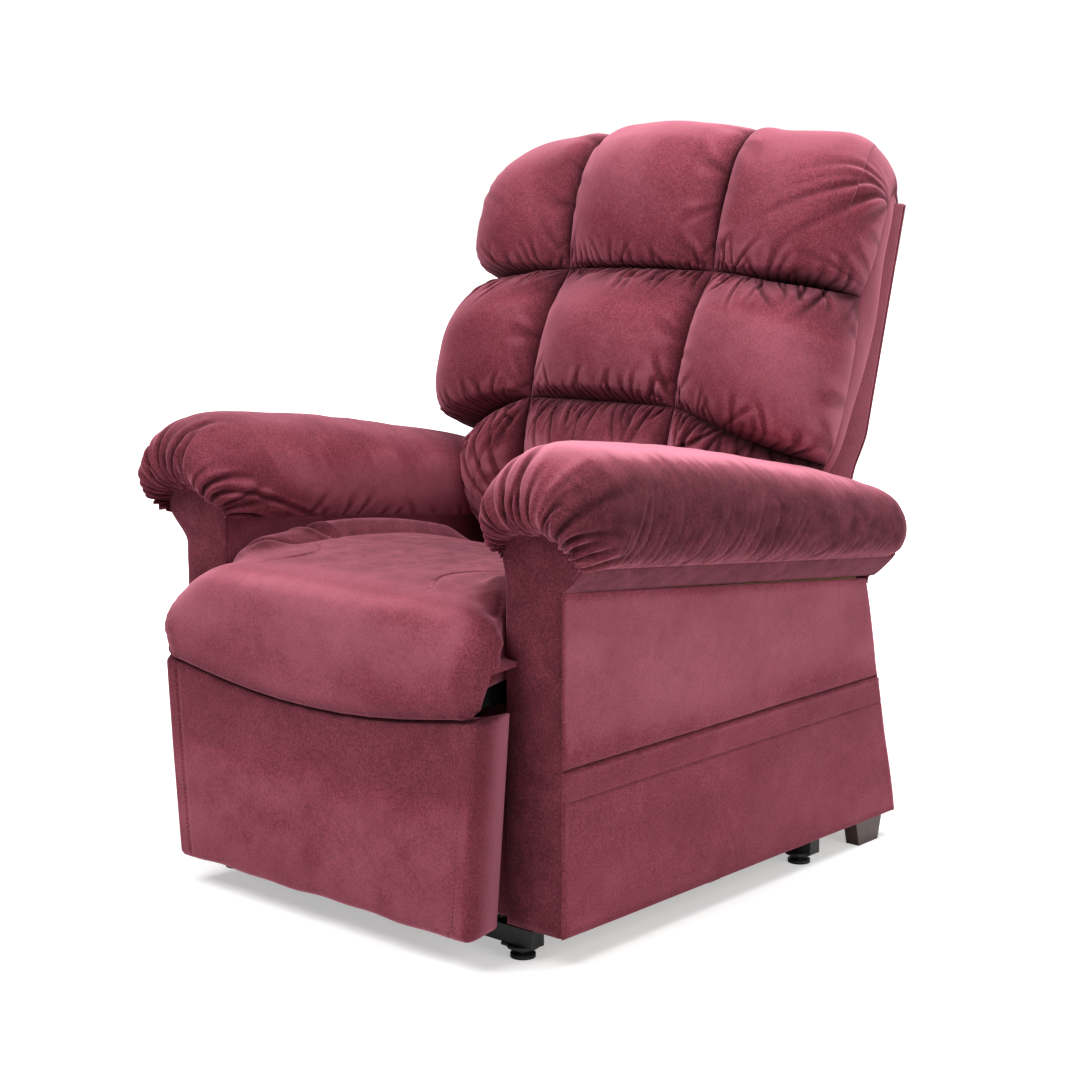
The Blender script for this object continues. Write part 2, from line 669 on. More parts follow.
def leveller_mat():
    """Black moulded disc below, bright threaded stud above."""
    m, nt, bs = mat_new("leveller")
    co = N(nt, "ShaderNodeTexCoord")
    sep = N(nt, "ShaderNodeSeparateXYZ")
    link(nt, co, "Object", sep, "Vector")
    gt = N(nt, "ShaderNodeMath", operation="GREATER_THAN")
    gt.inputs[1].default_value = 0.0082
    link(nt, sep, "Z", gt, 0)
    n1 = N(nt, "ShaderNodeTexNoise")
    n1.inputs["Scale"].default_value = 300
    link(nt, co, "Object", n1, "Vector")
    w = N(nt, "ShaderNodeTexWave", wave_type="BANDS", bands_direction="Z")
    w.inputs["Scale"].default_value = 130
    link(nt, co, "Object", w, "Vector")
    c1 = ramp_node(nt, [(0.3, (0.010, 0.010, 0.011, 1)), (0.7, (0.022, 0.022, 0.024, 1))])
    link(nt, n1, "Fac", c1, "Fac")
    mx = N(nt, "ShaderNodeMix", data_type="RGBA")
    link(nt, gt, "Value", mx, 0)
    link(nt, c1, "Color", mx, 6)
    mx.inputs[7].default_value = (0.60, 0.60, 0.60, 1)
    link(nt, mx, 2, bs, "Base Color")
    link(nt, gt, "Value", bs, "Metallic")
    bs.inputs["Roughness"].default_value = 0.33
    b = N(nt, "ShaderNodeBump")
    b.inputs["Distance"].default_value = 0.0006
    link(nt, gt, "Value", b, "Strength")
    link(nt, w, "Fac", b, "Height")
    link(nt, b, "Normal", bs, "Normal")
    return m


M["plywood"] = plywood()
M["leg_wood"] = leg_wood()
M["leveller"] = leveller_mat()
M["velvet"] = VELVET

slots_by_node = {}
for s in (record.get("materials") or record.get("material_slots") or []):
    if isinstance(s, dict):
        for n in s.get("nodes", []):
            slots_by_node[n] = s.get("slot") or s.get("name")


def guess_slot(n):
    if n.startswith("leveller_") and n != "leveller_plates":
        return "leveller"
    if n in ("arm_frame_left", "arm_frame_right", "legrest_board"):
        return "plywood"
    if n == "rear_legs":
        return "leg_wood"
    if n.startswith("button_"):
        return "button_grey"
    if n in ("hand_control", "control_box"):
        return "plastic_grey"
    if n in ("tube_end_caps", "power_supply", "arm_clips"):
        return "plastic_black"
    if n in ("lift_motor", "lift_motor_tube", "legrest_motor", "recline_motor"):
        return "motor_black"
    if n in ("lift_rod", "recline_rod", "legrest_rod"):
        return "steel_rod"
    if n.endswith("_pins") or n in ("seat_springs", "back_lever", "seat_slide_rails"):
        return "zinc"
    if n.startswith(("arm_cover", "arm_pad", "back_pillow")) or n in ("front_skirt", "rear_apron", "control_pocket", "seat_cushion", "back_shell", "legrest_pad"):
        return "velvet"
    return "painted_frame"


for n, o in frame["nodes"].items():
    s = slots_by_node.get(n) or guess_slot(n)
    mt = M.get(s, M["painted_frame"])
    if not o.material_slots:
        o.data.materials.append(None)
    for ms in o.material_slots:
        ms.link = "OBJECT"
        ms.material = mt


# ---------------------------------------------------------------- back pillows
rng0 = np.random.default_rng(20261116)


def S2(x):       # seam between the top and middle rows
    x = np.asarray(x, float)
    t = np.clip((np.abs(x) - 148) / 197.0, 0, None)
    y = 250 + 2 * (np.abs(x) / 148.0).clip(0, 1) ** 2 + 100 * t ** 3.4
    z = 911 - 2 * (np.abs(x) / 148.0).clip(0, 1) ** 2 - 37 * t ** 1.35
    return np.stack([x, y, z], -1)


def S1(x):       # seam between the middle and lower rows
    x = np.asarray(x, float)
    t = np.clip((np.abs(x) - 148) / 197.0, 0, None)
    y = 152 + 3 * (np.abs(x) / 148.0).clip(0, 1) ** 2 + 123 * t ** 2.9
    z = 705 - 3 * (np.abs(x) / 148.0).clip(0, 1) ** 2 - 86 * t ** 1.25
    return np.stack([x, y, z], -1)


COL_TOP = [(148, 252, 909), (149, 262, 960), (150, 283, 1030), (150, 315, 1095), (149, 350, 1122), (147, 400, 1120),
           (143, 450, 1090), (139, 485, 1050), (137, 500, 1030)]
OUT_TOP = [(352, 352, 872), (355, 384, 930), (350, 416, 981), (340, 456, 1024), (325, 496, 1034), (306, 528, 1026), (297, 548, 1016)]
COL_MID = [(148, 155, 702), (147, 185, 770), (147, 215, 840), (148, 252, 909)]
OUT_MID = [(345, 278, 616), (352, 305, 700), (355, 330, 790), (352, 352, 872)]
COL_LOW = [(150, 156, 448), (149, 152, 540), (148, 150, 630), (148, 155, 702)]
OUT_LOW = [(268, 225, 440), (270, 240, 500), (300, 258, 552), (345, 278, 616)]


def flipx(P):
    P = np.asarray(P, float).copy()
    P[..., 0] *= -1
    return P


def pillow(name, side, S0, S1c, Lc, Rc, amp, tilt, rng, node, nu=104, nv=96, ph=(2.2, 1.62), pv=(2.3, 1.6),
           ga=None, extra=None, back=(0, 40, -6), skew=(0, -0.25), topdark=0.0, bright=0.1, nseed=0.0, sag=15.0):
    """One stuffed pillow between four seams. amp(u, v) is how far it stands proud of them."""
    u, v = edgy(nu), edgy(nv)
    A = coons(S0(u), S1c(u), Lc(v), Rc(v), u, v)
    Nn = normals(A)
    if Nn[..., 1].mean() > 0:
        Nn = -Nn
    U, V = np.meshgrid(u, v, indexing="ij")
    W = np.linalg.norm(np.diff(A, axis=0), axis=-1).sum(0).mean()
    H = np.linalg.norm(np.diff(A, axis=1), axis=-1).sum(1).mean()
    uu = U ** (1 + skew[0]) if skew[0] >= 0 else 1 - (1 - U) ** (1 - skew[0])
    vv = V ** (1 + skew[1]) if skew[1] >= 0 else 1 - (1 - V) ** (1 - skew[1])
    Ux = U if side > 0 else 1 - U
    sq = ramp(Ux, 0.45, 0.92) if side else np.zeros(U.shape)
    B = hump(uu, *ph) * (hump(vv, *pv) * (1 - sq) + hump(vv, 4.6, 2.5) * sq)
    h = amp(U, V) * B
    g = ga or {}
    s_u, s_v = U * W, V * H
    c = 0
    edge_fade = ramp(np.minimum(U, 1 - U) * W, 2, 22)
    if "b" in g:
        c = c + creases(s_u, V * H, g["b"]) * edge_fade
    if "t" in g:
        c = c + creases(s_u, (1 - V) * H, g["t"]) * edge_fade
    fade2 = ramp(np.minimum(V, 1 - V) * H, 2, 22)
    if "l" in g:
        c = c + creases(s_v, U * W, g["l"]) * fade2
    if "r" in g:
        c = c + creases(s_v, (1 - U) * W, g["r"]) * fade2
    for key, aa, bb_ in (("c00", U * W, V * H), ("c10", (1 - U) * W, V * H), ("c01", U * W, (1 - V) * H), ("c11", (1 - U) * W, (1 - V) * H)):
        if key in g:
            c = c + drags(aa, bb_, g[key])
    # hold the very edge on the seam
    e = np.minimum(np.minimum(U, 1 - U) * W, np.minimum(V, 1 - V) * H)
    hold = ramp(e, 0.0, 7.0)
    soft = noise(A + 500, 95, 11) * 3.0 + noise(A + 900, 42, 12) * 1.1
    h = h + (c + soft * ramp(e, 5, 45)) * hold
    ex = extra(Ux, V, W, H) * hold * (1.0 if side > 0 else 0.5) if extra is not None else np.zeros(U.shape)
    h = h + ex
    P = A + Nn * h[..., None]
    # the stuffing settles: the lower part hangs over the seam, the corners stay pinched
    P[..., 2] -= sag * hump(U, 2.2, 1.4) * ramp(V * H, 0, 26) * (1 - ramp(V, 0.12, 0.62))
    nap = np.clip(c / 3.0, -1.15, 0.10) + np.clip(ex / 4.0, -0.9, 0.0)
    nap = nap - 0.60 * np.exp(-e / 8.0) - 1.1 * np.exp(-e / 3.0)
    nap = nap + topdark * (-0.95 * (1 - ramp((1 - V) * H, 10, 92)) * (0.62 + 0.5 * (Ux if side >= 0 else U) + 0.5 * noise(A, 34, 15)))
    nap = nap + 0.11 * noise(np.stack([A[..., 0] + A[..., 2] * 0.5, A[..., 2] * 0.5, A[..., 1]], -1) + nseed, 75, 16) + bright
    b = Build()
    i = b.grid(P, nap=nap)
    back_close(b, i, P, back)
    ob = b.make(name, VELVET_B, "backrest")
    return ob, P, A


def row(node, names, Sb, St, col, out, amps, seeds, kw_mid, kw_out, depth_b, depth_t):
    made = []
    for side, nm in ((-1, names[0]), (0, names[1]), (1, names[2])):
        rng = np.random.default_rng(seeds[side + 1])
        cpts = np.array(col, float)
        opts = np.array(out, float)
        if side == 0:
            xa, xb = -148, 148
            Lp, Rp = flipx(cpts), cpts
            kw = dict(kw_mid)
            W = 296
        elif side == 1:
            xa, xb = 148, 345
            Lp, Rp = cpts, opts
            kw = dict(kw_out)
            W = 225
        else:
            xa, xb = -345, -148
            Lp, Rp = flipx(opts), flipx(cpts)
            kw = dict(kw_out)
            W = 225
        H = length(cpts)

        def S0(u, f=Sb, a=Lp[0], c=Rp[0], xa=xa, xb=xb):
            q = f(xa + (xb - xa) * u)
            fix = (1 - u)[:, None] * (a - q[0]) + u[:, None] * (c - q[-1])
            return q + fix

        def S1f(u, f=St, a=Lp[-1], c=Rp[-1], xa=xa, xb=xb):
            q = f(xa + (xb - xa) * u)
            fix = (1 - u)[:, None] * (a - q[0]) + u[:, None] * (c - q[-1])
            return q + fix

        Lc = lambda v, p=Lp: curve(p, v)
        Rc = lambda v, p=Rp: curve(p, v)
        ga = {"b": gathers(rng, 6, W - 4, step=(9, 19), w=(2.6, 4.6), L=(22, 66), depth=depth_b),
              "t": gathers(rng, 6, W - 4, step=(9, 20), w=(2.6, 4.8), L=(26, 92), depth=depth_t, slant=0.35)}
        for key in ("c00", "c10", "c01", "c11"):
            ga[key] = corner(rng)
        gl = gathers(rng, 10, H - 10, step=(45, 90), w=(6, 11), L=(30, 75), depth=(0.8, 2.2), slant=0.5)
        gr = gathers(rng, 10, H - 10, step=(45, 90), w=(6, 11), L=(30, 75), depth=(0.8, 2.2), slant=0.5)
        ga["l"], ga["r"] = gl, gr
        if side == 1 and "ga_r" in kw:
            ga["r"] = kw.pop("ga_r")(rng, H)
            kw.pop("ga_l", None)
        elif side == -1 and "ga_r" in kw:
            ga["l"] = kw.pop("ga_r")(rng, H)
        if side == 0:
            kw.pop("ga_r", None)
        if side == -1:
            kw["bright"] = kw.get("bright", 0.1) - 0.06
        if side == -1 and "skew" in kw:
            kw["skew"] = (-kw["skew"][0], kw["skew"][1])
        amp = amps[0] if side == 0 else amps[1]
        if side == -1:
            f0 = amp
            amp = lambda U, V, f0=f0: f0(1 - U, V)
        ob, P, A = pillow(nm, side, S0, S1f, Lc, Rc, amp, 0, rng, node, ga=ga, **kw)
        made.append((ob, P, A))
    return made


def S3(x):       # rear seam of the top row, on the shell's top
    x = np.asarray(x, float)
    t = np.clip((np.abs(x) - 148) / 150.0, 0, 1)
    return np.stack([x, 500 + 48 * t ** 1.5, 1030 - 12 * t], -1)


def S0low(x):
    x = np.asarray(x, float)
    t = np.clip((np.abs(x) - 148) / 120.0, 0, 1)
    return np.stack([x, 156 + 69 * t ** 1.5, 448 - 8 * t], -1)


def amp_top_mid(U, V):
    return 70 - 54 * ramp(V, 0.28, 0.68)


def amp_top_out(U, V):
    return 62 + 52 * ramp(U, 0.15, 0.75) - (42 + 12 * ramp(U, 0.15, 0.75)) * ramp(V, 0.36, 0.80)


def low_folds(U, V, W, H):
    """Slack fabric of the lower side pillows: long slanting folds down from the seam."""
    s, d = U * W, (1 - V) * H
    it = [(0.10 * W, 4.5, 170, 6.0, 0.30, 0.1), (0.27 * W, 5.0, 230, 9.0, -0.22, -0.1), (0.44 * W, 4.6, 250, 9.0, -0.34, -0.15), (0.60 * W, 5.2, 220, 8.0, -0.42, -0.15),
          (0.76 * W, 4.6, 190, 7.0, -0.50, -0.1), (0.90 * W, 5.0, 150, 6.0, -0.55, 0.0)]
    return creases(s, d, it)


def corner_fan(U, V, W, H):
    """Pleats drawn in to the rear top corner, where the fabric is pulled over the frame."""
    it = [(-8, 3.6, 80, 3.0, -0.1), (-21, 3.4, 110, 4.0, 0.0), (-29, 4.2, 150, 5.5, 0.08), (-40, 3.8, 165, 6.0, 0.14), (-46, 4.6, 215, 6.5, 0.15),
          (-56, 4.0, 190, 7.0, 0.10), (-61, 4.4, 230, 6.0, 0.16), (-70, 3.8, 170, 6.5, 0.06), (-75, 4.0, 190, 5.0, 0.10), (-84, 3.4, 120, 4.0, 0.0)]
    low = [(26, 3.4, 120, 4.0, -0.12), (38, 3.2, 95, 3.0, -0.1)]
    return drags((1 - U) * W + 4, (V - 0.55) * H, it) + drags((1 - U) * W + 4, V * H - 10, low)


def fan_items(rng, H):
    """Long pleats that run in from the rear top corner of the top outer pillows."""
    out = []
    for s, L, dp, sl in ((0.24, 50, 3.0, 0.0), (0.33, 62, 4.0, 0.05), (0.42, 84, 5.0, 0.10), (0.50, 104, 6.0, 0.20), (0.565, 128, 7.0, 0.34), (0.62, 150, 7.5, 0.48),
                         (0.67, 165, 7.5, 0.62), (0.715, 160, 7.0, 0.74), (0.76, 130, 6.0, 0.72), (0.81, 96, 4.5, 0.5)):
        out.append((s * H, rng.uniform(4.5, 6.5), L * rng.uniform(0.9, 1.1), dp, sl * rng.uniform(0.85, 1.15), rng.normal(0, 0.1)))
    return out


top = row("back_pillow_top", ("back_pillow_top_right", "back_pillow_top_mid", "back_pillow_top_left"), S2, S3, COL_TOP, OUT_TOP,
          (amp_top_mid, amp_top_out), (11, 12, 13), dict(nu=150, nv=170, pv=(2.5, 1.7), bright=0.06),
          dict(nu=130, nv=190, pv=(2.6, 1.75), ph=(2.3, 1.7), extra=corner_fan, bright=0.05), (3.5, 6.5), (0.8, 2.0))
mid = row("back_pillow_middle", ("back_pillow_mid_right", "back_pillow_mid_mid", "back_pillow_mid_left"), S1, S2, COL_MID, OUT_MID,
          (lambda U, V: 78 + 8 * (0.5 - V), lambda U, V: 76 + 8 * (0.5 - V) + 36 * ramp(U, 0.15, 0.75)), (21, 22, 23),
          dict(nu=150, nv=140, topdark=0.95, bright=0.12), dict(nu=130, nv=140, ph=(2.3, 1.7), pv=(2.5, 1.7), topdark=0.85, bright=0.10), (4.0, 7.0), (6.0, 10.0))
low = row("back_pillow_lower", ("back_pillow_low_right", "back_pillow_low_mid", "back_pillow_low_left"), S0low, S1, COL_LOW, OUT_LOW,
          (lambda U, V: 74 + 0 * U, lambda U, V: 76 + 14 * ramp(U, 0.2, 0.8)), (31, 32, 33),
          dict(nu=150, nv=130, skew=(0, 0.1), topdark=0.9, sag=0.0, bright=0.3), dict(nu=130, nv=130, ph=(2.3, 1.8), skew=(0, 0.15), topdark=0.45, bright=0.35, extra=low_folds, sag=0.0), (1.2, 2.4), (5.0, 9.0))
for r, nd in ((top, "back_pillow_top"), (mid, "back_pillow_middle"), (low, "back_pillow_lower")):
    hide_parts(nd)


# ---------------------------------------------------------------- boxing strips at the sides of the back
def gusset(sgn):
    seam = curve([(268, 232, 470), (272, 244, 520), (300, 262, 572), (343, 280, 618), (350, 305, 700), (353, 330, 790), (350, 353, 872), (352, 386, 930), (347, 417, 981), (337, 457, 1020),
                  (322, 488, 1030), (305, 524, 1024)], np.linspace(0, 1, 150))
    back = curve([(272, 300, 470), (276, 305, 520), (300, 312, 565), (326, 322, 606), (332, 372, 700), (333, 426, 817), (332, 455, 942), (331, 474, 990), (327, 486, 1010), (318, 508, 1016),
                  (303, 530, 1017)], np.linspace(0, 1, 150))
    n = 26
    t = np.linspace(0, 1, n)
    P = seam[:, None] * (1 - t)[None, :, None] + back[:, None] * t[None, :, None]
    w = np.linalg.norm(seam - back, axis=1)
    P[..., 0] += 5.0 * hump(t, 2.2, 2.0)[None] * ramp(w, 10, 60)[:, None]
    P[..., 0] += noise(P, 60, 5) * 1.2 * hump(t)[None]
    inner = np.stack([back, back * [0, 1, 1] + [268, 6, 0]], 1)
    inner2 = np.stack([seam * [0, 1, 1] + [262, 12, 0]], 1)
    k = np.linspace(0, 1, 6)[1:]
    step = inner[:, 0][:, None] * (1 - k)[None, :, None] + inner[:, 1][:, None] * k[None, :, None]
    ring = np.concatenate([P, step, inner2], 1)
    b = Build()
    i = b.grid(flipx(ring) if sgn < 0 else ring, close_v=True)
    for e in (0, -1):
        V = np.concatenate(b.v)
        b.fan(i[e], V[i[e]].mean(0))
    return b.make("back_gusset_" + ("left" if sgn > 0 else "right"), VELVET_B, "backrest")


for sgn in (1, -1):
    gusset(sgn)


# ---------------------------------------------------------------- back shell
def shell():
    b = Build()
    nz_, = (150,)
    z = np.linspace(335, 1015, nz_)
    yr = 415 + (z - 335) * (185.0 / 680.0)
    yf = np.where(z < 580, 292 + (z - 335) * (28 / 245.0), 320 + (z - 580) * (155 / 435.0))
    hw = 272 + 13 * ramp(z, 575, 650)
    # section loop, rear panel crowned, corners rounded
    def loop(k):
        h, a, c = hw[k], yf[k], yr[k]
        r = 14
        pts = []
        xs = np.linspace(-1, 1, 61)
        for x in xs:                                     # rear, from -x to +x
            pts.append((x * (h - r), c - 5 + 5 * (1 - abs(x) ** 3)))
        for q in np.linspace(0, 1, 9)[1:]:
            pts.append((h - r + r * math.sin(q * math.pi / 2), c - 5 - r + r * math.cos(q * math.pi / 2)))
        ys = np.linspace(c - 5 - r, a, 14)[1:]
        for y in ys:
            f = (y - a) / max(c - 5 - r - a, 1)
            pts.append((h + 2.5 * (1 - abs(2 * f - 1) ** 2.5), y))
        for x in np.linspace(1, -1, 20)[1:-1]:
            pts.append((x * h, a))
        for y in ys[::-1]:
            f = (y - a) / max(c - 5 - r - a, 1)
            pts.append((-h - 2.5 * (1 - abs(2 * f - 1) ** 2.5), y))
        for q in np.linspace(1, 0, 9)[:-1]:
            pts.append((-h + r - r * math.sin(q * math.pi / 2), c - 5 - r + r * math.cos(q * math.pi / 2)))
        return np.array([(p[0], p[1], z[k]) for p in pts])
    G = np.array([loop(k) for k in range(nz_)])
    nr = 61
    # sewn line across the rear panel and a slack ripple below it
    rear = np.zeros(G.shape[:2])
    rear[:, :nr] = 1
    Z = G[..., 2]
    X = G[..., 0]
    G[..., 1] -= rear * 2.2 * np.exp(-((Z - 905) / 3.0) ** 2)
    G[..., 1] -= rear * 1.6 * np.exp(-((np.abs(X) - 150) / 3.0) ** 2) * ramp(Z, 905, 915) * 0
    G[..., 1] += rear * noise(G * [1, 1, 0.6], 120, 7) * 2.6 * ramp(275 - np.abs(X), 0, 40)
    b_i = b.grid(G, close_v=True)
    # open at the foot: the cloth turns up inside, leaving room for the rails when the back reclines
    last = b_i[0]
    for k in (0, 3, 8, 16, 26, 38, 52):
        ring = G[k].copy()
        ring[:, 0] = np.clip(ring[:, 0], -hw[k] + 4, hw[k] - 4)
        ring[:, 1] = np.clip(ring[:, 1], yf[k] + 4, yr[k] - 10)
        a = b.pts(ring) + np.arange(len(last))
        b.bridge(last, a, closed=True)
        last = a
    b.fan(last, np.concatenate(b.v)[last].mean(0))
    # slightly crowned top closure
    for e, dz in ((-1, 7),):
        V = np.concatenate(b.v)
        loopv = V[b_i[e]]
        cen = loopv.mean(0)
        last = b_i[e]
        for q in (0.15, 0.4, 0.7):
            ring = loopv + (cen - loopv) * q
            ring[:, 2] += dz * math.sin(min(1, q * 1.4) * math.pi / 2)
            a = b.pts(ring) + np.arange(len(last))
            b.bridge(last, a, closed=True)
            last = a
        b.fan(last, np.concatenate(b.v)[last].mean(0))
    ob = b.make("back_shell_cover", VELVET, "backrest")
    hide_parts("back_shell")
    # piping on the two rear edges and the top, and hem stitching
    pb = Build()
    for s in (1, -1):
        zz = np.linspace(338, 1013, 160)
        yy = 415 + (zz - 335) * (185.0 / 680.0)
        h = 272 + 13 * ramp(zz, 575, 650)
        tube(pb, np.stack([s * (h - 3.2), yy - 7.6, zz], -1), 2.6, 8)
    pb.make("back_shell_piping", VELVET_B, "backrest")
    sb = Build()
    xs = np.linspace(-262, 262, 120)
    for z0 in (900, 345):
        y0 = 415 + (z0 - 335) * (185.0 / 680.0)
        stitches(sb, np.stack([xs, y0 - 5 + 5 * (1 - abs(xs / 270) ** 3) + 0.4, np.full_like(xs, z0)], -1), up=(0, 1, 0))
    sb.make("back_shell_stitching", VELVET_D, "backrest")


shell()


# ---------------------------------------------------------------- arms
ARCH = [(281, 547), (279.5, 562), (294, 577), (323, 586), (364, 588), (399, 579), (413, 563), (415.5, 547)]


def pad_section(y):
    """Outline of an arm pad's section at y, from its inner seam over the top to its outer seam."""
    a = float(zs(y))
    t = np.interp(y, [-340, -320, -200, -68, 60, 179, 300, 360, 408], [701, 700.5, 688, 671, 649, 627, 597, 580, 562])
    top = float(t)
    hgt = top - a
    return [(281, a), (271, a + 0.12 * hgt), (265, a + 0.38 * hgt), (272, a + 0.66 * hgt), (296, a + 0.88 * hgt), (330, a + 0.985 * hgt), (362, top),
            (397, a + 0.95 * hgt), (428, a + 0.78 * hgt), (444, a + 0.52 * hgt), (444, a + 0.27 * hgt), (433, a + 0.08 * hgt), (415, a - 1.0)]


def arm_pad(sgn, seed):
    rng = np.random.default_rng(seed)
    nt_ = 210
    th = np.linspace(0, 1, nt_)
    ys = np.r_[np.linspace(-340, 335, 170)]
    full = np.zeros((len(ys), nt_, 3))
    for k, y in enumerate(ys):
        c = curve(pad_section(y), th)
        full[k, :, 0], full[k, :, 1], full[k, :, 2] = c[:, 0], y, c[:, 1]
    # front cap: from the arch seam, forward and round to the first full section
    nf = 64
    A = curve(ARCH, th)
    F = full[0]
    R = np.hypot(F[:, 0] - A[:, 0], F[:, 2] - A[:, 1])
    k = np.clip(R / 70.0, 0, 1) ** 0.7
    q = np.linspace(0, 1, nf + 1)[:-1]
    fwd1, fwd2 = -380 - 78 * k, -380 - 84 * k
    w = (3 * (1 - q) ** 2 * q * 0.02 + 3 * (1 - q) * q ** 2 * 0.98 + q ** 3)
    cap = np.zeros((nf, nt_, 3))
    for j in range(nf):
        t = q[j]
        y = (1 - t) ** 3 * -375 + 3 * (1 - t) ** 2 * t * fwd1 + 3 * (1 - t) * t ** 2 * fwd2 + t ** 3 * -340
        cap[j, :, 0] = A[:, 0] + (F[:, 0] - A[:, 0]) * w[j]
        cap[j, :, 1] = y
        cap[j, :, 2] = A[:, 1] + (F[:, 2] - A[:, 1]) * w[j]
    # rear cap
    nr = 30
    last = full[-1]
    cen = np.array([352, 0, float(zs(335)) + 34])
    rear = np.zeros((nr, nt_, 3))
    for j in range(nr):
        a = (j + 1) / nr * math.pi / 2
        s = math.cos(a) ** 0.75
        rear[j, :, 0] = cen[0] + (last[:, 0] - cen[0]) * s
        rear[j, :, 1] = 335 + 70 * math.sin(a)
        rear[j, :, 2] = cen[2] + (last[:, 2] - cen[2]) * s - 10 * math.sin(a)
    P = np.concatenate([cap, full, rear], 0)
    Nn = normals(P)
    if (Nn[90, nt_ // 2] @ np.array([0, 0, 1])) < 0:
        Nn = -Nn
    # distance from the arch seam, along each line
    D = np.concatenate([np.zeros((1, nt_)), np.cumsum(np.linalg.norm(np.diff(P, axis=0), axis=-1), 0)], 0)
    S = np.broadcast_to(th * length([(x, 0, z) for x, z in ARCH]), D.shape)
    Ls = length([(x, 0, z) for x, z in ARCH])
    items = []
    s = 6.0
    while s < Ls - 4:
        items.append((s, rng.uniform(1.5, 2.3), rng.uniform(80, 175), rng.uniform(7.0, 12.0), rng.normal(0, 0.05), rng.normal(0, 0.06)))
        if rng.uniform() < 0.42:
            items.append((s + rng.uniform(2, 5), rng.uniform(2.2, 3.4), rng.uniform(170, 300), rng.uniform(4.0, 7.0), rng.normal(0, 0.05), rng.normal(0, 0.06)))
        s += rng.uniform(6.5, 12)
    h = creases(S, D, items) * ramp(D, 0, 4)
    # long soft puckers along the two lower seams
    for side_t, ln in ((0, 1), (1, 1)):
        d2 = (th if side_t == 0 else 1 - th)[None] * 430.0
        it = gathers(rng, -330, 330, step=(26, 60), w=(5, 9), L=(24, 62), depth=(0.7, 1.6), slant=0.6, bend=0.2)
        fine_ = []
        if side_t:
            yy_ = -352.0
            while yy_ < 330:
                f_ = 1.0 if yy_ < 40 else 0.6
                fine_.append((yy_, rng.uniform(2.2, 4.0), rng.uniform(70, 165) * (1.0 if yy_ < 40 else 0.7), rng.uniform(0.9, 2.1) * f_, rng.uniform(0.35, 0.75), rng.normal(0.0, 0.08)))
                yy_ += rng.uniform(10, 22) * (1.0 if yy_ < 40 else 1.5)
        h = h + creases(P[..., 1], np.broadcast_to(d2, D.shape), it + fine_) * ramp(d2, 0, 8) * ramp(D, 55, 95)
    soft = noise(P, 120, 3 + seed) * 2.4 + noise(P, 48, 4 + seed) * 1.0
    diag = noise(np.stack([P[..., 1] + P[..., 2] * 0.9, (P[..., 2] - P[..., 1] * 0.35) * 3.4, P[..., 0]], -1), 46, 9 + seed)
    outer = ramp(th, 0.62, 0.8)[None] * ramp(1 - th, 0.0, 0.06)[None]
    h = h + soft * ramp(D, 10, 90) + diag * 0.9 * outer * ramp(D, 60, 160)
    hold = (ramp(th, 0, 0.02) * ramp(1 - th, 0, 0.02))[None]
    nap = np.clip((h - soft * ramp(D, 10, 90)) / 3.4, -1.1, 0.25)
    h = h * hold
    P = P + Nn * h[..., None]
    tt = th[None] + 0.014 * noise(np.stack([P[..., 1] + P[..., 2] * 0.5, P[..., 1] * 0, P[..., 0] * 0], -1), 9, 33 + seed) + 0.03 * noise(P, 55, 34 + seed)
    dark = ramp(tt, 0.61, 0.73) * (1 - 0.40 * ramp(tt, 0.84, 0.97)) + 0.5 * ramp(1 - tt, 0.62, 0.85)
    topb = np.exp(-((tt - 0.49) / 0.16) ** 2)
    if sgn > 0:
        nap = nap - 1.05 * dark * ramp(D, 20, 120) + 0.74 * topb * ramp(D, 110, 260)
    else:
        nap = nap + 0.30 * ramp(1 - tt, 0.60, 0.85) * ramp(D, 120, 240) - 0.72 * topb * ramp(D, 20, 120) - 0.2 * dark
    nap = nap - 0.45 * (1 - ramp(D, 0, 120)) - 0.25 * np.exp(-D / 6.0)
    b = Build()
    i = b.grid(flipx(P) if sgn < 0 else P, nap=nap)
    # hidden underside and front closure
    V = np.concatenate(b.v)
    a0, a1 = V[i[:, 0]], V[i[:, -1]]
    kk = np.linspace(0, 1, 5)[1:-1]
    und = a0[:, None] * (1 - kk)[None, :, None] + a1[:, None] * kk[None, :, None]
    j = b.grid(und)
    b.bridge(i[:, 0], j[:, 0])
    b.bridge(j[:, -1], i[:, -1])
    loop0 = np.r_[i[0], j[0][::-1]]
    b.fan(loop0, np.concatenate(b.v)[loop0].mean(0) + [0, 2, 0])
    loop1 = np.r_[i[-1], j[-1][::-1]]
    b.fan(loop1, np.concatenate(b.v)[loop1].mean(0))
    nm = "left" if sgn > 0 else "right"
    ob = b.make("arm_pad_cover_" + nm, VELVET, "lift_frame")
    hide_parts("arm_pad_" + nm)
    return ob


for sgn, sd in ((1, 5), (-1, 8)):
    arm_pad(sgn, sd)


def rear_y(z):
    """Rear edge line of an arm box."""
    return 455 - (np.asarray(z, float) - 42) * (104 / 399.0)


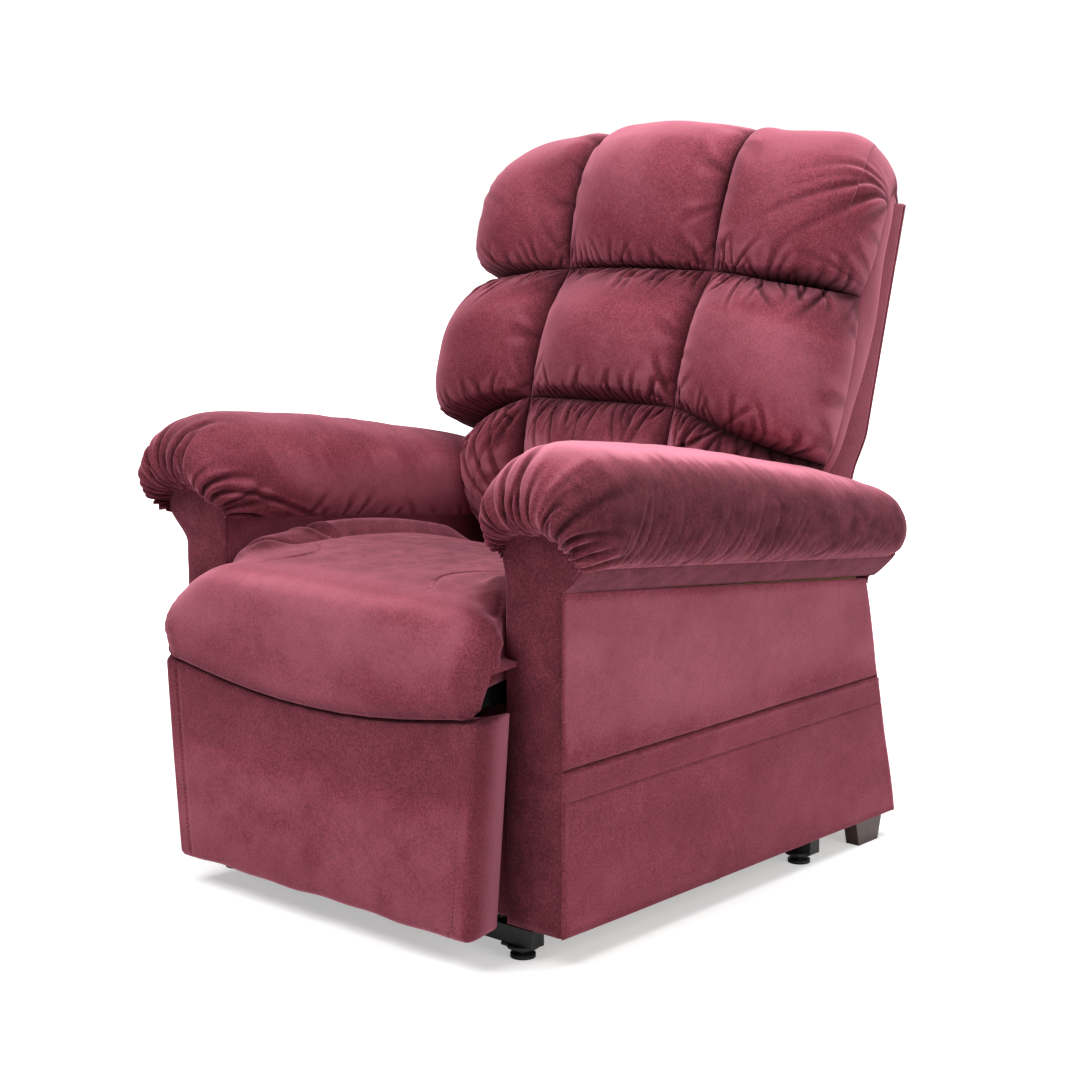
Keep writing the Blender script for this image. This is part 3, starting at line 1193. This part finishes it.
def arm_cover(sgn, seed):
    nm = "left" if sgn > 0 else "right"
    fx = flipx if sgn < 0 else (lambda q: q)
    # front panel
    nf, nz_ = 44, 190
    f = np.linspace(0, 1, nf)
    arch = curve(ARCH, f)
    v = np.linspace(0, 1, nz_)
    P = np.zeros((nf, nz_, 3))
    for k in range(nf):
        z = 47 + (arch[k, 1] - 1.5 - 47) * v
        x = HX + 0.5 + (AX - HX - 1.0) * f[k]
        x = x + (arch[k, 0] - x) * ramp(z, 500, 556)
        P[k, :, 0], P[k, :, 2] = x, z
    fr = f[:, None]
    crown = hump(fr, 3.2, 2.0) * 5.0
    P[..., 1] = FRONT_Y - crown * ramp(v, 0, 0.02)[None] - noise(P + 40 * seed, 70, seed) * 1.1 - noise(P + 11 * seed, 26, seed + 1) * 0.5
    P[..., 1] += 3.0 * ramp(1 - v, 0.0, 0.03)[None] * 0 + 2.5 * (1 - ramp(fr, 0, 0.05)) + 2.5 * (1 - ramp(1 - fr, 0, 0.05))
    b = Build()
    blot = noise(P, 38, seed + 3) * 0.16 + noise(P, 90, seed + 4) * 0.12 - 0.52 - 0.25 * (1 - ramp(np.minimum(fr, 1 - fr), 0, 0.06)) * np.ones_like(P[..., 0])
    sheet(b, fx(P)[::-1] if sgn < 0 else P, 4.0, nap=blot[::-1] if sgn < 0 else blot)
    ob = b.make("arm_front_" + nm, VELVET, "lift_frame")
    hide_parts("arm_cover_" + nm)
    # outer side panel with a fold and a sewn line, wrapping the rear corner
    nz2, ny = 240, 220
    zb = np.linspace(0, 1, nz2)
    yb = np.linspace(0, 1, ny)
    G = np.zeros((ny + 30, nz2, 3))
    for k in range(nz2):
        # z at the front edge and at the rear edge
        z_front = 46 + (TOP0 - 36 - 46) * zb[k]
        z_rear = 42 + (441 - 6 - 42) * zb[k]
        yr_ = float(rear_y(z_rear))
        yy = FRONT_Y + 3 + (yr_ - 6 - FRONT_Y - 3) * yb
        zz = z_front + (z_rear - z_front) * yb
        G[:ny, k, 0] = AX
        G[:ny, k, 1] = yy
        G[:ny, k, 2] = zz
        # rounded rear corner, then the rear face inwards
        for q in range(10):
            a = (q + 1) / 10 * math.pi / 2
            G[ny + q, k] = (AX - 6 + 6 * math.cos(a), yr_ - 6 + 6 * math.sin(a), zz[-1])
        for q in range(20):
            G[ny + 10 + q, k] = (AX - 6 - (q + 1) / 20 * (AX - 6 - HX - 2), yr_, zz[-1])
    Z = G[..., 2]
    Y = G[..., 1]
    outx = np.zeros(G.shape[:2])
    side = np.zeros(G.shape[:2])
    side[:ny] = 1
    yf_ = (Y - FRONT_Y)
    zf = Z + 0.0                                  # the fold and the sewn line are level
    bulge = 3.0 * hump(np.clip((Z - 275) / 230.0, 0, 1), 2.4, 2) * hump(np.clip(yf_ / 790.0, 0, 1), 3, 2)
    band = 2.6 * ramp(272.5 - zf, 0, 2.0)
    groove = -3.2 * np.exp(-((zf - 273.6) / 1.7) ** 2)
    lip = 1.0 * np.exp(-((zf - 268.5) / 3.5) ** 2)
    sew = -0.9 * np.exp(-((zf - 229.5) / 1.6) ** 2)
    soft = noise(G * [1, 1, 1.4], 130, seed + 20) * 1.6 + noise(G, 45, seed + 21) * 0.35
    edge = ramp(yf_, 0, 16) * ramp(zb, 0, 0.015)[None]
    rise = (bulge + soft + groove + lip + sew) * edge + band * ramp(yf_, 0, 3)
    rise = rise - 3.0 * (1 - ramp(yf_, 0, 5))
    G[..., 0] += rise * side
    b = Build()
    Gm = fx(G)
    gn = (groove / 2.6 + 0.17 * ramp(Z, 272, 330) + 0.05 + sew * 0.35 - 0.02 * ramp(272 - zf, 0, 3) + noise(G * [1, 1, 1.6], 85, seed + 22) * 0.07 + noise(G, 300, seed + 23) * 0.06
          - 0.22 * (1 - ramp(yf_, 0, 14)) - 0.2 * (1 - ramp(zb, 0, 0.03))[None] - 0.16 * ramp(zb, 0.96, 1.0)[None]) * side
    sheet(b, Gm if sgn > 0 else Gm[::-1], 4.0, nap=gn if sgn > 0 else gn[::-1])
    b.make("arm_side_" + nm, VELVET, "lift_frame")
    # flared strip under the pad
    nl = 190
    y = np.linspace(FRONT_Y + 1, 372, nl)
    t = np.linspace(0, 1, 16)
    S = np.zeros((nl, 16, 3))
    for k in range(nl):
        ztop = float(zs(y[k])) + 1.5
        S[k, :, 0] = AX - 1.0 + (415 - AX + 1.0) * t + 2.5 * hump(t, 2.2, 2)
        S[k, :, 1] = y[k]
        S[k, :, 2] = ztop - 37 + 37 * t - 1.2 * hump(t, 2.2, 2)
    S[..., 0] += noise(S, 50, seed + 30) * 0.7
    b = Build()
    Sm = fx(S)
    sn = -1.05 + noise(S, 60, seed + 31) * 0.08 - 0.5 * np.exp(-((t[None] - 0.06) / 0.05) ** 2)
    sheet(b, Sm if sgn > 0 else Sm[::-1], 3.5, nap=sn if sgn > 0 else sn[::-1])
    b.make("arm_flare_" + nm, VELVET, "lift_frame")
    # inner panel
    ni, nk = 150, 90
    t = np.linspace(0, 1, nk)
    I = np.zeros((ni, nk, 3))
    yend = rear_y(60 + (478 - 60) * t) - 3
    for k in range(ni):
        yk = FRONT_Y + 3 + (yend - FRONT_Y - 3) * (k / (ni - 1))
        I[k, :, 0] = HX
        I[k, :, 1] = yk
        I[k, :, 2] = 46 + (zs(yk) + 1 - 46) * t
    I[..., 0] += noise(I, 110, seed + 40) * 0.8 - 0.6
    b = Build()
    Im = fx(I)
    ip = np.full(I.shape[:2], -0.35 if sgn < 0 else -0.2) + noise(I, 70, seed + 41) * 0.12
    sheet(b, Im[::-1] if sgn > 0 else Im, 3.5, nap=ip[::-1] if sgn > 0 else ip)
    b.make("arm_inner_" + nm, VELVET, "lift_frame")
    # rear end of the arm top, closed up to the pad
    R_ = np.zeros((40, 24, 3))
    tt = np.linspace(0, 1, 24)
    ztop = float(zs(372)) + 2
    for k in range(24):
        z = 428 + (ztop + 10 - 428) * tt[k]
        yk = float(rear_y(428)) + 1.5 + (376 - float(rear_y(428)) - 1.5) * float(ramp(z, 428, ztop))
        xo = AX - 0.5 + (414 - AX) * float(np.clip((z - ztop + 38) / 37.0, 0, 1))
        R_[:, k, 0] = HX + 1 + (xo - HX - 1) * np.linspace(0, 1, 40)
        R_[:, k, 1] = yk
        R_[:, k, 2] = z
    R_[..., 1] += noise(R_, 40, seed + 50) * 0.8
    b = Build()
    Rm = fx(R_)
    sheet(b, Rm[::-1] if sgn > 0 else Rm, 3.0, nap=-0.2)
    b.make("arm_rear_top_" + nm, VELVET, "lift_frame")
    # stitching
    sb = Build()
    yy = np.linspace(FRONT_Y + 12, 392, 200)
    stitches(sb, fx(np.stack([np.full_like(yy, AX + 2.0), yy, np.full_like(yy, 229.5)], -1)), pitch=6.5, run=4.0, r=0.6, up=(sgn, 0, 0))
    sb.make("arm_stitching_" + nm, VELVET_D, "lift_frame")


for sgn, sd in ((1, 2), (-1, 6)):
    arm_cover(sgn, sd)


# ---------------------------------------------------------------- seat cushion
SMILE = [(-325, 360), (-316, 349), (-231, 336), (-120, 323), (-14, 319), (87, 324), (183, 336), (275, 351), (325, 360)]


def smile(x):
    p = np.array(SMILE, float)
    xx = np.abs(np.asarray(x, float))
    xs = np.array([0, 60, 120, 183, 231, 275, 316, 330])
    zz = np.array([319, 320, 324, 331, 338, 345, 351, 353])
    return np.interp(xx, xs, zz)


def seat_shape(X, Y, Z):
    """Sewn shape on the seat: side bolsters with a pinch, the curved seam inside them, darts, soft hollows."""
    ax_ = np.abs(X)
    topw = ramp(Z, 400, 470) * ramp(Y, -476, -420)
    h = np.zeros(X.shape)
    # bolsters along the arms, in two lumps
    notch = np.exp(-((Y + 243 + 0.55 * (ax_ - 246)) / 7.5) ** 2)
    bol = np.exp(-(np.abs((ax_ - 248) / 27.0)) ** 2.6) * ramp(Y, -385, -330) * (1 - ramp(Y, 40, 120))
    h += bol * (15 + 5 * ramp(Y, -240, -215)) * (1 - 0.8 * notch)
    h += 3.5 * bol * np.exp(-((np.abs(Y + 243 + 0.55 * (ax_ - 246)) - 17) / 9.0) ** 2)
    # curved seam inside the bolsters
    xs = 213 + 66 * (1 - ramp(Y, -402, -292))
    seam = np.exp(-(np.abs(ax_ - xs) / 3.6) ** 1.6) * ramp(Y, -440, -395) * (1 - ramp(Y, 60, 120)) * topw
    h -= 4.0 * seam
    h += 0.6 * np.exp(-(np.abs(ax_ - xs + 15) / 12.0) ** 2) * ramp(Y, -430, -380) * topw
    # sewn dart near the right-hand arm, and a shallow one beside it
    for sx, dep in ((1, 1.0), (-1, 0.55)):
        xx = X * sx
        yd = np.clip((Y + 402) / 122.0, 0, 1)
        xd = 168 - 34 * np.sin(np.pi * np.clip(yd * 0.86, 0, 1)) + 44 * yd ** 3
        w = ramp(Y, -415, -385) * (1 - ramp(Y, -300, -268))
        c = xx - xd
        h -= 7.5 * dep * w * np.exp(-(np.abs(c) / 2.2) ** 1.5)
        h += dep * w * (1.4 * np.exp(-((c - 20) / 18.0) ** 2))
    # front middle stands a little fuller, hollow where it is sat on
    h += 4.0 * np.exp(-(X / 190.0) ** 2) * np.exp(-((Y + 400) / 70.0) ** 2)
    h -= 4.5 * np.exp(-((ax_ - 0) / 150.0) ** 2) * np.exp(-((Y + 120) / 130.0) ** 2)
    # long stretch folds
    P2 = np.stack([X * 0.55 + Y * 0.2, Y * 1.6 + Z * 1.2, Z * 0.4], -1)
    h += noise(P2, 85, 63) * 0.8
    return h


def seat():
    zbot = lambda x: smile(x)
    nprof, nbot = 200, 60
    r = 30.0

    def section(x):
        zb = float(smile(x))
        prof = [(-474, zb), (-481, zb + 24), (-485.5, 388), (-487, 420), (-482.5, 447), (-469, 470), (-438, 486), (-384, 497), (-300, 504), (-230, 507), (-161, 506), (-90, 499),
                (-29, 488), (60, 468), (130, 448), (190, 430)]
        top = curve(prof, np.linspace(0, 1, nprof))
        bot = curve([(190, 430), (190, 378), (100, 374), (-200, 374), (-372, 373), (-408, 366), (-438, 354), (-460, zb + 5), (-474, zb)], np.linspace(0, 1, nbot))[1:-1]
        return np.concatenate([top, bot])

    def inset(loop, d):
        t = np.roll(loop, -1, 0) - np.roll(loop, 1, 0)
        t /= np.maximum(np.linalg.norm(t, axis=1, keepdims=True), 1e-9)
        n = np.stack([-t[:, 1], t[:, 0]], -1)          # points out of the loop
        c = loop.mean(0)
        if ((loop - c) * n).sum() < 0:
            n = -n
        # smooth the normals so that corners stay round
        for _ in range(6):
            n = (np.roll(n, 1, 0) + n * 2 + np.roll(n, -1, 0)) / 4
        n /= np.maximum(np.linalg.norm(n, axis=1, keepdims=True), 1e-9)
        return loop - n * d

    def hw_of(Y):
        return 317 - 38.5 * ramp(Y, -438, -381)

    rows, ss = [], []
    body = np.linspace(-1, 1, 190)
    nph = 16
    for k in range(nph):                                 # left end, rounded
        a = (1 - k / nph) * math.pi / 2
        rows.append((-1, a))
    for s_ in body:
        rows.append((s_, 0.0))
    for k in range(nph):
        a = (k + 1) / nph * math.pi / 2
        rows.append((1, a))
    L = []
    for s_, a in rows:
        x0 = 286 * s_
        sec = section(x0)
        frontness = 1 - ramp(sec[:, 0], -412, -368)
        lift_ = ramp(sec[:, 1], 385, 478)
        deep = 16 + (62 if s_ < 0 else 34) * frontness * lift_ + 6 * (1 - frontness)
        wide = 30 + (78 if s_ < 0 else 36) * frontness * lift_ - 6 * (1 - frontness)
        d = deep * (1 - math.cos(a))
        q = inset(sec, d[:, None]) if a > 0 else sec
        hw = hw_of(sec[:, 0]) - (5.0 * (1 - ramp(sec[:, 0], -440, -384)) if s_ > 0 else 0.0)
        under = np.arange(len(sec)) >= nprof
        hw = np.where(under, np.minimum(hw, 317 - 42.0 * ramp(sec[:, 0], -470, -436)), hw)
        X = s_ * (hw - wide) + np.sign(s_) * wide * math.sin(a)
        L.append(np.stack([X, q[:, 0], q[:, 1]], -1))
    P = np.array(L)
    top = P[:, :nprof]
    Nn = normals(P)
    if Nn[len(rows) // 2, nprof // 2, 2] < 0:
        Nn = -Nn
    h = np.zeros(P.shape[:2])
    T = P[:, :nprof]
    h[:, :nprof] = seat_shape(T[..., 0], T[..., 1], T[..., 2])
    h += noise(P, 170, 61) * 2.6 + noise(P, 70, 62) * 0.5
    # pull creases from the end seams of the front roll
    rng = np.random.default_rng(64)
    for sx in (1, -1):
        it = [(z_, rng.uniform(3, 6), rng.uniform(30, 75), rng.uniform(0.8, 2.4), rng.normal(0, 0.25), 0.1) for z_ in (345, 359, 378, 402, 430, 455)]
        dist = np.clip(317 - sx * P[..., 0], 0, 400)
        h += creases(P[..., 2], dist, it) * (P[..., 1] < -400) * ramp(dist, 2, 12)
    lim = np.ones(P.shape[:2])
    lim[:, nprof:] = 0
    lim = lim * ramp(np.arange(P.shape[1]), 0, 6)[None] * (1 - ramp(np.arange(P.shape[1]), nprof - 8, nprof - 1))[None]
    sharp = np.zeros(P.shape[:2])
    sharp[:, :nprof] = seat_shape(T[..., 0], T[..., 1], T[..., 2])
    nap = np.clip(sharp / 9.0, -0.9, 0.12)
    nap += 0.14 * np.exp(-((P[..., 2] - 425) / 60.0) ** 2) * (P[..., 1] < -400) + noise(P * [1, 1, 1.5], 95, 66) * 0.07
    nap -= 0.98 * ramp(P[..., 1], -466, -340) * ramp(P[..., 2], 440, 490)
    nap -= 0.30 * ramp(np.abs(P[..., 0]), 205, 240) * ramp(P[..., 1], -400, -340)
    nap -= 0.30 * (1 - ramp(317 - np.abs(P[..., 0]), 0, 46)) + 0.85 * np.exp(-(np.clip(P[..., 2] - smile(P[..., 0]), 0, 500) / 7.0))
    P = P + Nn * (h * lim)[..., None]
    b = Build()
    i = b.grid(P, close_v=True, nap=nap)
    for e, sx in ((0, -1), (-1, 1)):
        V = np.concatenate(b.v)
        loop = V[i[e]]
        last = i[e]
        cen = np.array([0, -150, 425.0])
        for q in (0.35, 0.7, 0.9):
            ring = loop.copy()
            ring[:, 1] += (np.clip(loop[:, 1], -440, 150) - loop[:, 1]) * q
            ring[:, 2] += (410 - loop[:, 2]) * q
            ring[:, 0] = sx * (np.minimum(np.abs(loop[:, 0]), hw_of(ring[:, 1])) + 0.8 * q)
            a = b.pts(ring) + np.arange(len(last))
            b.bridge(last, a, closed=True)
            last = a
        b.fan(last, [sx * 278.0, -150, 410])
    ob = b.make("seat_cushion_cover", VELVET_S, merge=0.05)
    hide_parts("seat_cushion")
    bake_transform(ob)
    return ob


seat()


# ---------------------------------------------------------------- legrest
def legrest():
    nu, nv = 180, 130
    u = edgy(nu, 0.3)
    v = np.linspace(0, 1, nv)
    U, V = np.meshgrid(u, v, indexing="ij")
    X0 = 2 * U - 1
    hw = 296 + 25 * V
    X = X0 * hw
    ztop = smile(X)
    zlow = 46 + 1.2 * np.sin(X / 41.0) + 0.8 * np.sin(X / 17.0 + 1)
    Z = zlow + (ztop - 1.0 - zlow) * V
    Y = LEG_Y0 - 1.5 * hump(U, 3.5, 2) * hump(V, 3.0, 2) * 2.2 + 0 * X
    P = np.stack([X, Y, Z], -1)
    P[..., 1] -= noise(P * [1, 1, 0.7], 140, 71) * 1.6 + noise(P, 50, 72) * 0.5
    e = (1 - np.abs(X0)) * hw
    P[..., 1] += 7 * (1 - np.sqrt(np.clip(1 - (1 - np.clip(e / 8.0, 0, 1)) ** 2, 0, 1)))
    P[..., 1] += 4 * (1 - ramp(V, 0, 0.02))
    # roll of the top edge under the seat cushion
    P[..., 1] += 10 * (1 - ramp(1 - V, 0, 0.05)) ** 2
    # vertical sewn line in from the right edge
    for sx in (1, -1):
        P[..., 1] += 1.4 * np.exp(-((P[..., 0] - sx * (hw - 30)) / 1.8) ** 2)
    # back of the panel, deeper at the two side returns
    Q = P.copy()
    Q[..., 1] = -447 + 33 * ramp(np.abs(X0), 0.93, 0.985) * ramp(V, 0.0, 0.02)
    Q[..., 0] = P[..., 0] * 0.995
    b2 = Build()
    ln_ = 0.02 + noise(P * [1, 1, 0.8], 100, 73) * 0.03 + noise(P, 36, 74) * 0.04 - 0.34 * ramp(Z, 180, 330) + 0.10 - 0.28 * (1 - ramp(ztop - Z, 0, 34)) * (0.75 + 0.25 * noise(P, 16, 75))
    ln_ = ln_ - 0.18 * (1 - ramp(e, 0, 14)) - 1.1 * (1 - ramp(ztop - Z, 2, 11))
    i = b2.grid(P, nap=ln_)
    j = b2.grid(Q, flip=True)
    b2.bridge(boundary(i), boundary(j), closed=True)
    ob = b2.make("legrest_panel", VELVET_S, "legrest")
    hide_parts("legrest_pad")
    sb = Build()
    for sx in (1, -1):
        zz = np.linspace(56, 335, 90)
        h = 296 + 25 * (zz - 46) / 305.0 - 26
        stitches(sb, np.stack([sx * h, np.full_like(zz, LEG_Y0 - 1.6), zz], -1), pitch=6.5, run=4.0, r=0.6, up=(0, -1, 0))
    sb.make("legrest_stitching", VELVET_D, "legrest")


legrest()


# ---------------------------------------------------------------- skirts and pocket
def skirts():
    nu, nv = 120, 60
    u = np.linspace(-276, 276, nu)
    v = np.linspace(0, 1, nv)
    U, V = np.meshgrid(u, v, indexing="ij")
    for name, y0, z0, z1, node in (("front_skirt_cloth", -372.0, 54, 305, "front_skirt"), ("rear_apron_cloth", 358.0, 60, 236, "rear_apron")):
        top = z1 - (190 * (1 - ramp(np.abs(U), 222, 246)) if y0 < 0 else 0.0)
        P = np.stack([U, np.full_like(U, y0), z0 + (top - z0) * V], -1)
        wav = noise(np.stack([U, np.zeros_like(U), V * 40], -1), 48, 81) * 2.0 * (1 - 0.6 * V)
        P[..., 1] += wav
        b = Build()
        sheet(b, P if y0 < 0 else P[::-1], 3.0)
        ob = b.make(name, VELVET, "lift_frame")
        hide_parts(node)


skirts()


def web():
    """Loose cloth behind the seat that bridges to the foot of the back and stretches as it reclines."""
    nu, nv = 90, 40
    u = np.linspace(-250, 250, nu)
    v = np.linspace(0, 1, nv)
    U, V = np.meshgrid(u, v, indexing="ij")
    y = 186 + (262 - 186) * V
    z = 398 + (452 - 398) * V - 10 * hump(V, 2.2, 1.8) + noise(np.stack([U, V * 40, V * 0], -1), 40, 85) * 1.6 * hump(V)
    P = np.stack([U, y, z], -1)
    b = Build()
    sheet(b, P, 3.0, nap=np.full(U.shape, -0.4))
    ob = b.make("seat_back_web", VELVET)
    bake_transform(ob)


web()


def top_liner():
    """Cloth under the two seams of the top row, where they run down to the shell."""
    for sgn, nm in ((1, "left"), (-1, "right")):
        path = curve([(147, 405, 1108), (143, 452, 1080), (139, 487, 1040), (137, 505, 1021), (136, 528, 1014)], np.linspace(0, 1, 40))
        w = np.linspace(-30, 30, 25)
        P = path[:, None] + w[None, :, None] * np.array([1.0, 0, 0])
        P[..., 2] += 0.012 * w[None] ** 2 * (1 - np.linspace(0, 1, 40)[:, None])
        b = Build()
        sheet(b, flipx(P) if sgn < 0 else P[:, ::-1], 3.0, nap=-0.7)
        b.make("back_top_liner_" + nm, VELVET_B, "backrest")


top_liner()


def pocket():
    lo, hi = bb("control_pocket")
    b = Build()
    x0 = -AX - 0.5
    ny, nz_ = 50, 36
    y = np.linspace(-130, -20, ny)
    v = np.linspace(0, 1, nz_)
    Y, V = np.meshgrid(y, v, indexing="ij")
    t = (Y + 130) / 110.0
    out = 17 * hump(t, 6, 2) * (0.75 + 0.25 * hump(np.clip(V * 0.5 + 0.5, 0, 1) * 0 + 0.5)) * ramp(V, -0.02, 0.10)
    P = np.stack([x0 - out - 0.8, Y, 284 + 76 * V], -1)
    P[..., 0] -= noise(P, 22, 91) * 0.8 * hump(t, 6, 2)
    sheet(b, P[::-1], 2.2)
    ob = b.make("control_pocket_cloth", VELVET, "lift_frame")
    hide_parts("control_pocket")


pocket()


# ---------------------------------------------------------------- floor, light, camera
WORLD, TOP_W, FRONT_W, SIDE_W = 0.24, 125, 105, 36


def stage():
    me = bpy.data.meshes.new("floor")
    R = 60.0
    me.from_pydata([(-R, -R, 0), (R, -R, 0), (R, R, 0), (-R, R, 0)], [], [(0, 1, 2, 3)])
    fl = bpy.data.objects.new("floor", me)
    bpy.context.scene.collection.objects.link(fl)
    m, nt, bs = mat_new("floor")
    n = N(nt, "ShaderNodeTexNoise")
    n.inputs["Scale"].default_value = 3
    r = ramp_node(nt, [(0.3, (0.86, 0.86, 0.86, 1)), (0.7, (0.88, 0.88, 0.88, 1))])
    link(nt, n, "Fac", r, "Fac")
    link(nt, r, "Color", bs, "Base Color")
    bs.inputs["Roughness"].default_value = 0.9
    bs.inputs["Specular IOR Level"].default_value = 0.1
    bs.inputs["Emission Color"].default_value = (1, 1, 1, 1)
    lpf = N(nt, "ShaderNodeLightPath")
    mrf = N(nt, "ShaderNodeMapRange")
    mrf.inputs["To Min"].default_value = 0.0
    mrf.inputs["To Max"].default_value = 0.42
    link(nt, lpf, "Is Camera Ray", mrf, "Value")
    cof = N(nt, "ShaderNodeTexCoord")
    ln = N(nt, "ShaderNodeVectorMath", operation="LENGTH")
    link(nt, cof, "Object", ln, 0)
    far = N(nt, "ShaderNodeMapRange")
    far.inputs["From Min"].default_value = 1.1
    far.inputs["From Max"].default_value = 2.6
    far.inputs["To Min"].default_value = 1.0
    far.inputs["To Max"].default_value = 3.2
    link(nt, ln, "Value", far, "Value")
    em = N(nt, "ShaderNodeMath", operation="MULTIPLY")
    link(nt, mrf, "Result", em, 0)
    link(nt, far, "Result", em, 1)
    link(nt, em, "Value", bs, "Emission Strength")
    me.materials.append(m)
    w = bpy.data.worlds.new("studio")
    bpy.context.scene.world = w
    w.use_nodes = True
    wt = w.node_tree
    bg = wt.nodes["Background"]
    bg.inputs["Color"].default_value = (1, 1, 1, 1)
    lp = N(wt, "ShaderNodeLightPath")
    mr = N(wt, "ShaderNodeMapRange")
    mr.inputs["To Min"].default_value = WORLD
    mr.inputs["To Max"].default_value = 1.05
    link(wt, lp, "Is Camera Ray", mr, "Value")
    link(wt, mr, "Result", bg, "Strength")

    def area(name, loc, aim, size, power, col=(1, 1, 1)):
        d = bpy.data.lights.new(name, "AREA")
        d.shape = "RECTANGLE"
        d.size, d.size_y = size
        d.energy = power
        d.color = col
        o = bpy.data.objects.new(name, d)
        bpy.context.scene.collection.objects.link(o)
        o.location = loc
        dv = Vector(aim) - Vector(loc)
        o.rotation_mode = "QUATERNION"
        o.rotation_quaternion = dv.to_track_quat("-Z", "Y")
        return o

    area("top", (0.5, 0.9, 3.3), (0, -0.05, 0.5), (2.2, 2.2), TOP_W)
    area("front", (-0.5, -2.5, 3.3), (0, 0, 0.6), (1.8, 1.8), FRONT_W)
    area("side", (3.4, -0.4, 1.9), (0.2, 0, 0.5), (1.8, 1.8), SIDE_W)


stage()

cam = bpy.data.cameras.new("camera")
cam.sensor_width = 36
cam.lens = 67.008
cam.clip_start, cam.clip_end = 0.05, 60
co = bpy.data.objects.new("camera", cam)
bpy.context.scene.collection.objects.link(co)
co.location = (2.0372, -2.3652, 0.9763)
co.rotation_mode = "QUATERNION"
co.rotation_quaternion = Vector((-0.6526, 0.7420, -0.1535)).to_track_quat("-Z", "Y")
bpy.context.scene.camera = co
bpy.context.scene.view_settings.view_transform = "Standard"
bpy.context.scene.view_settings.look = "None"

bpy.context.view_layer.update()
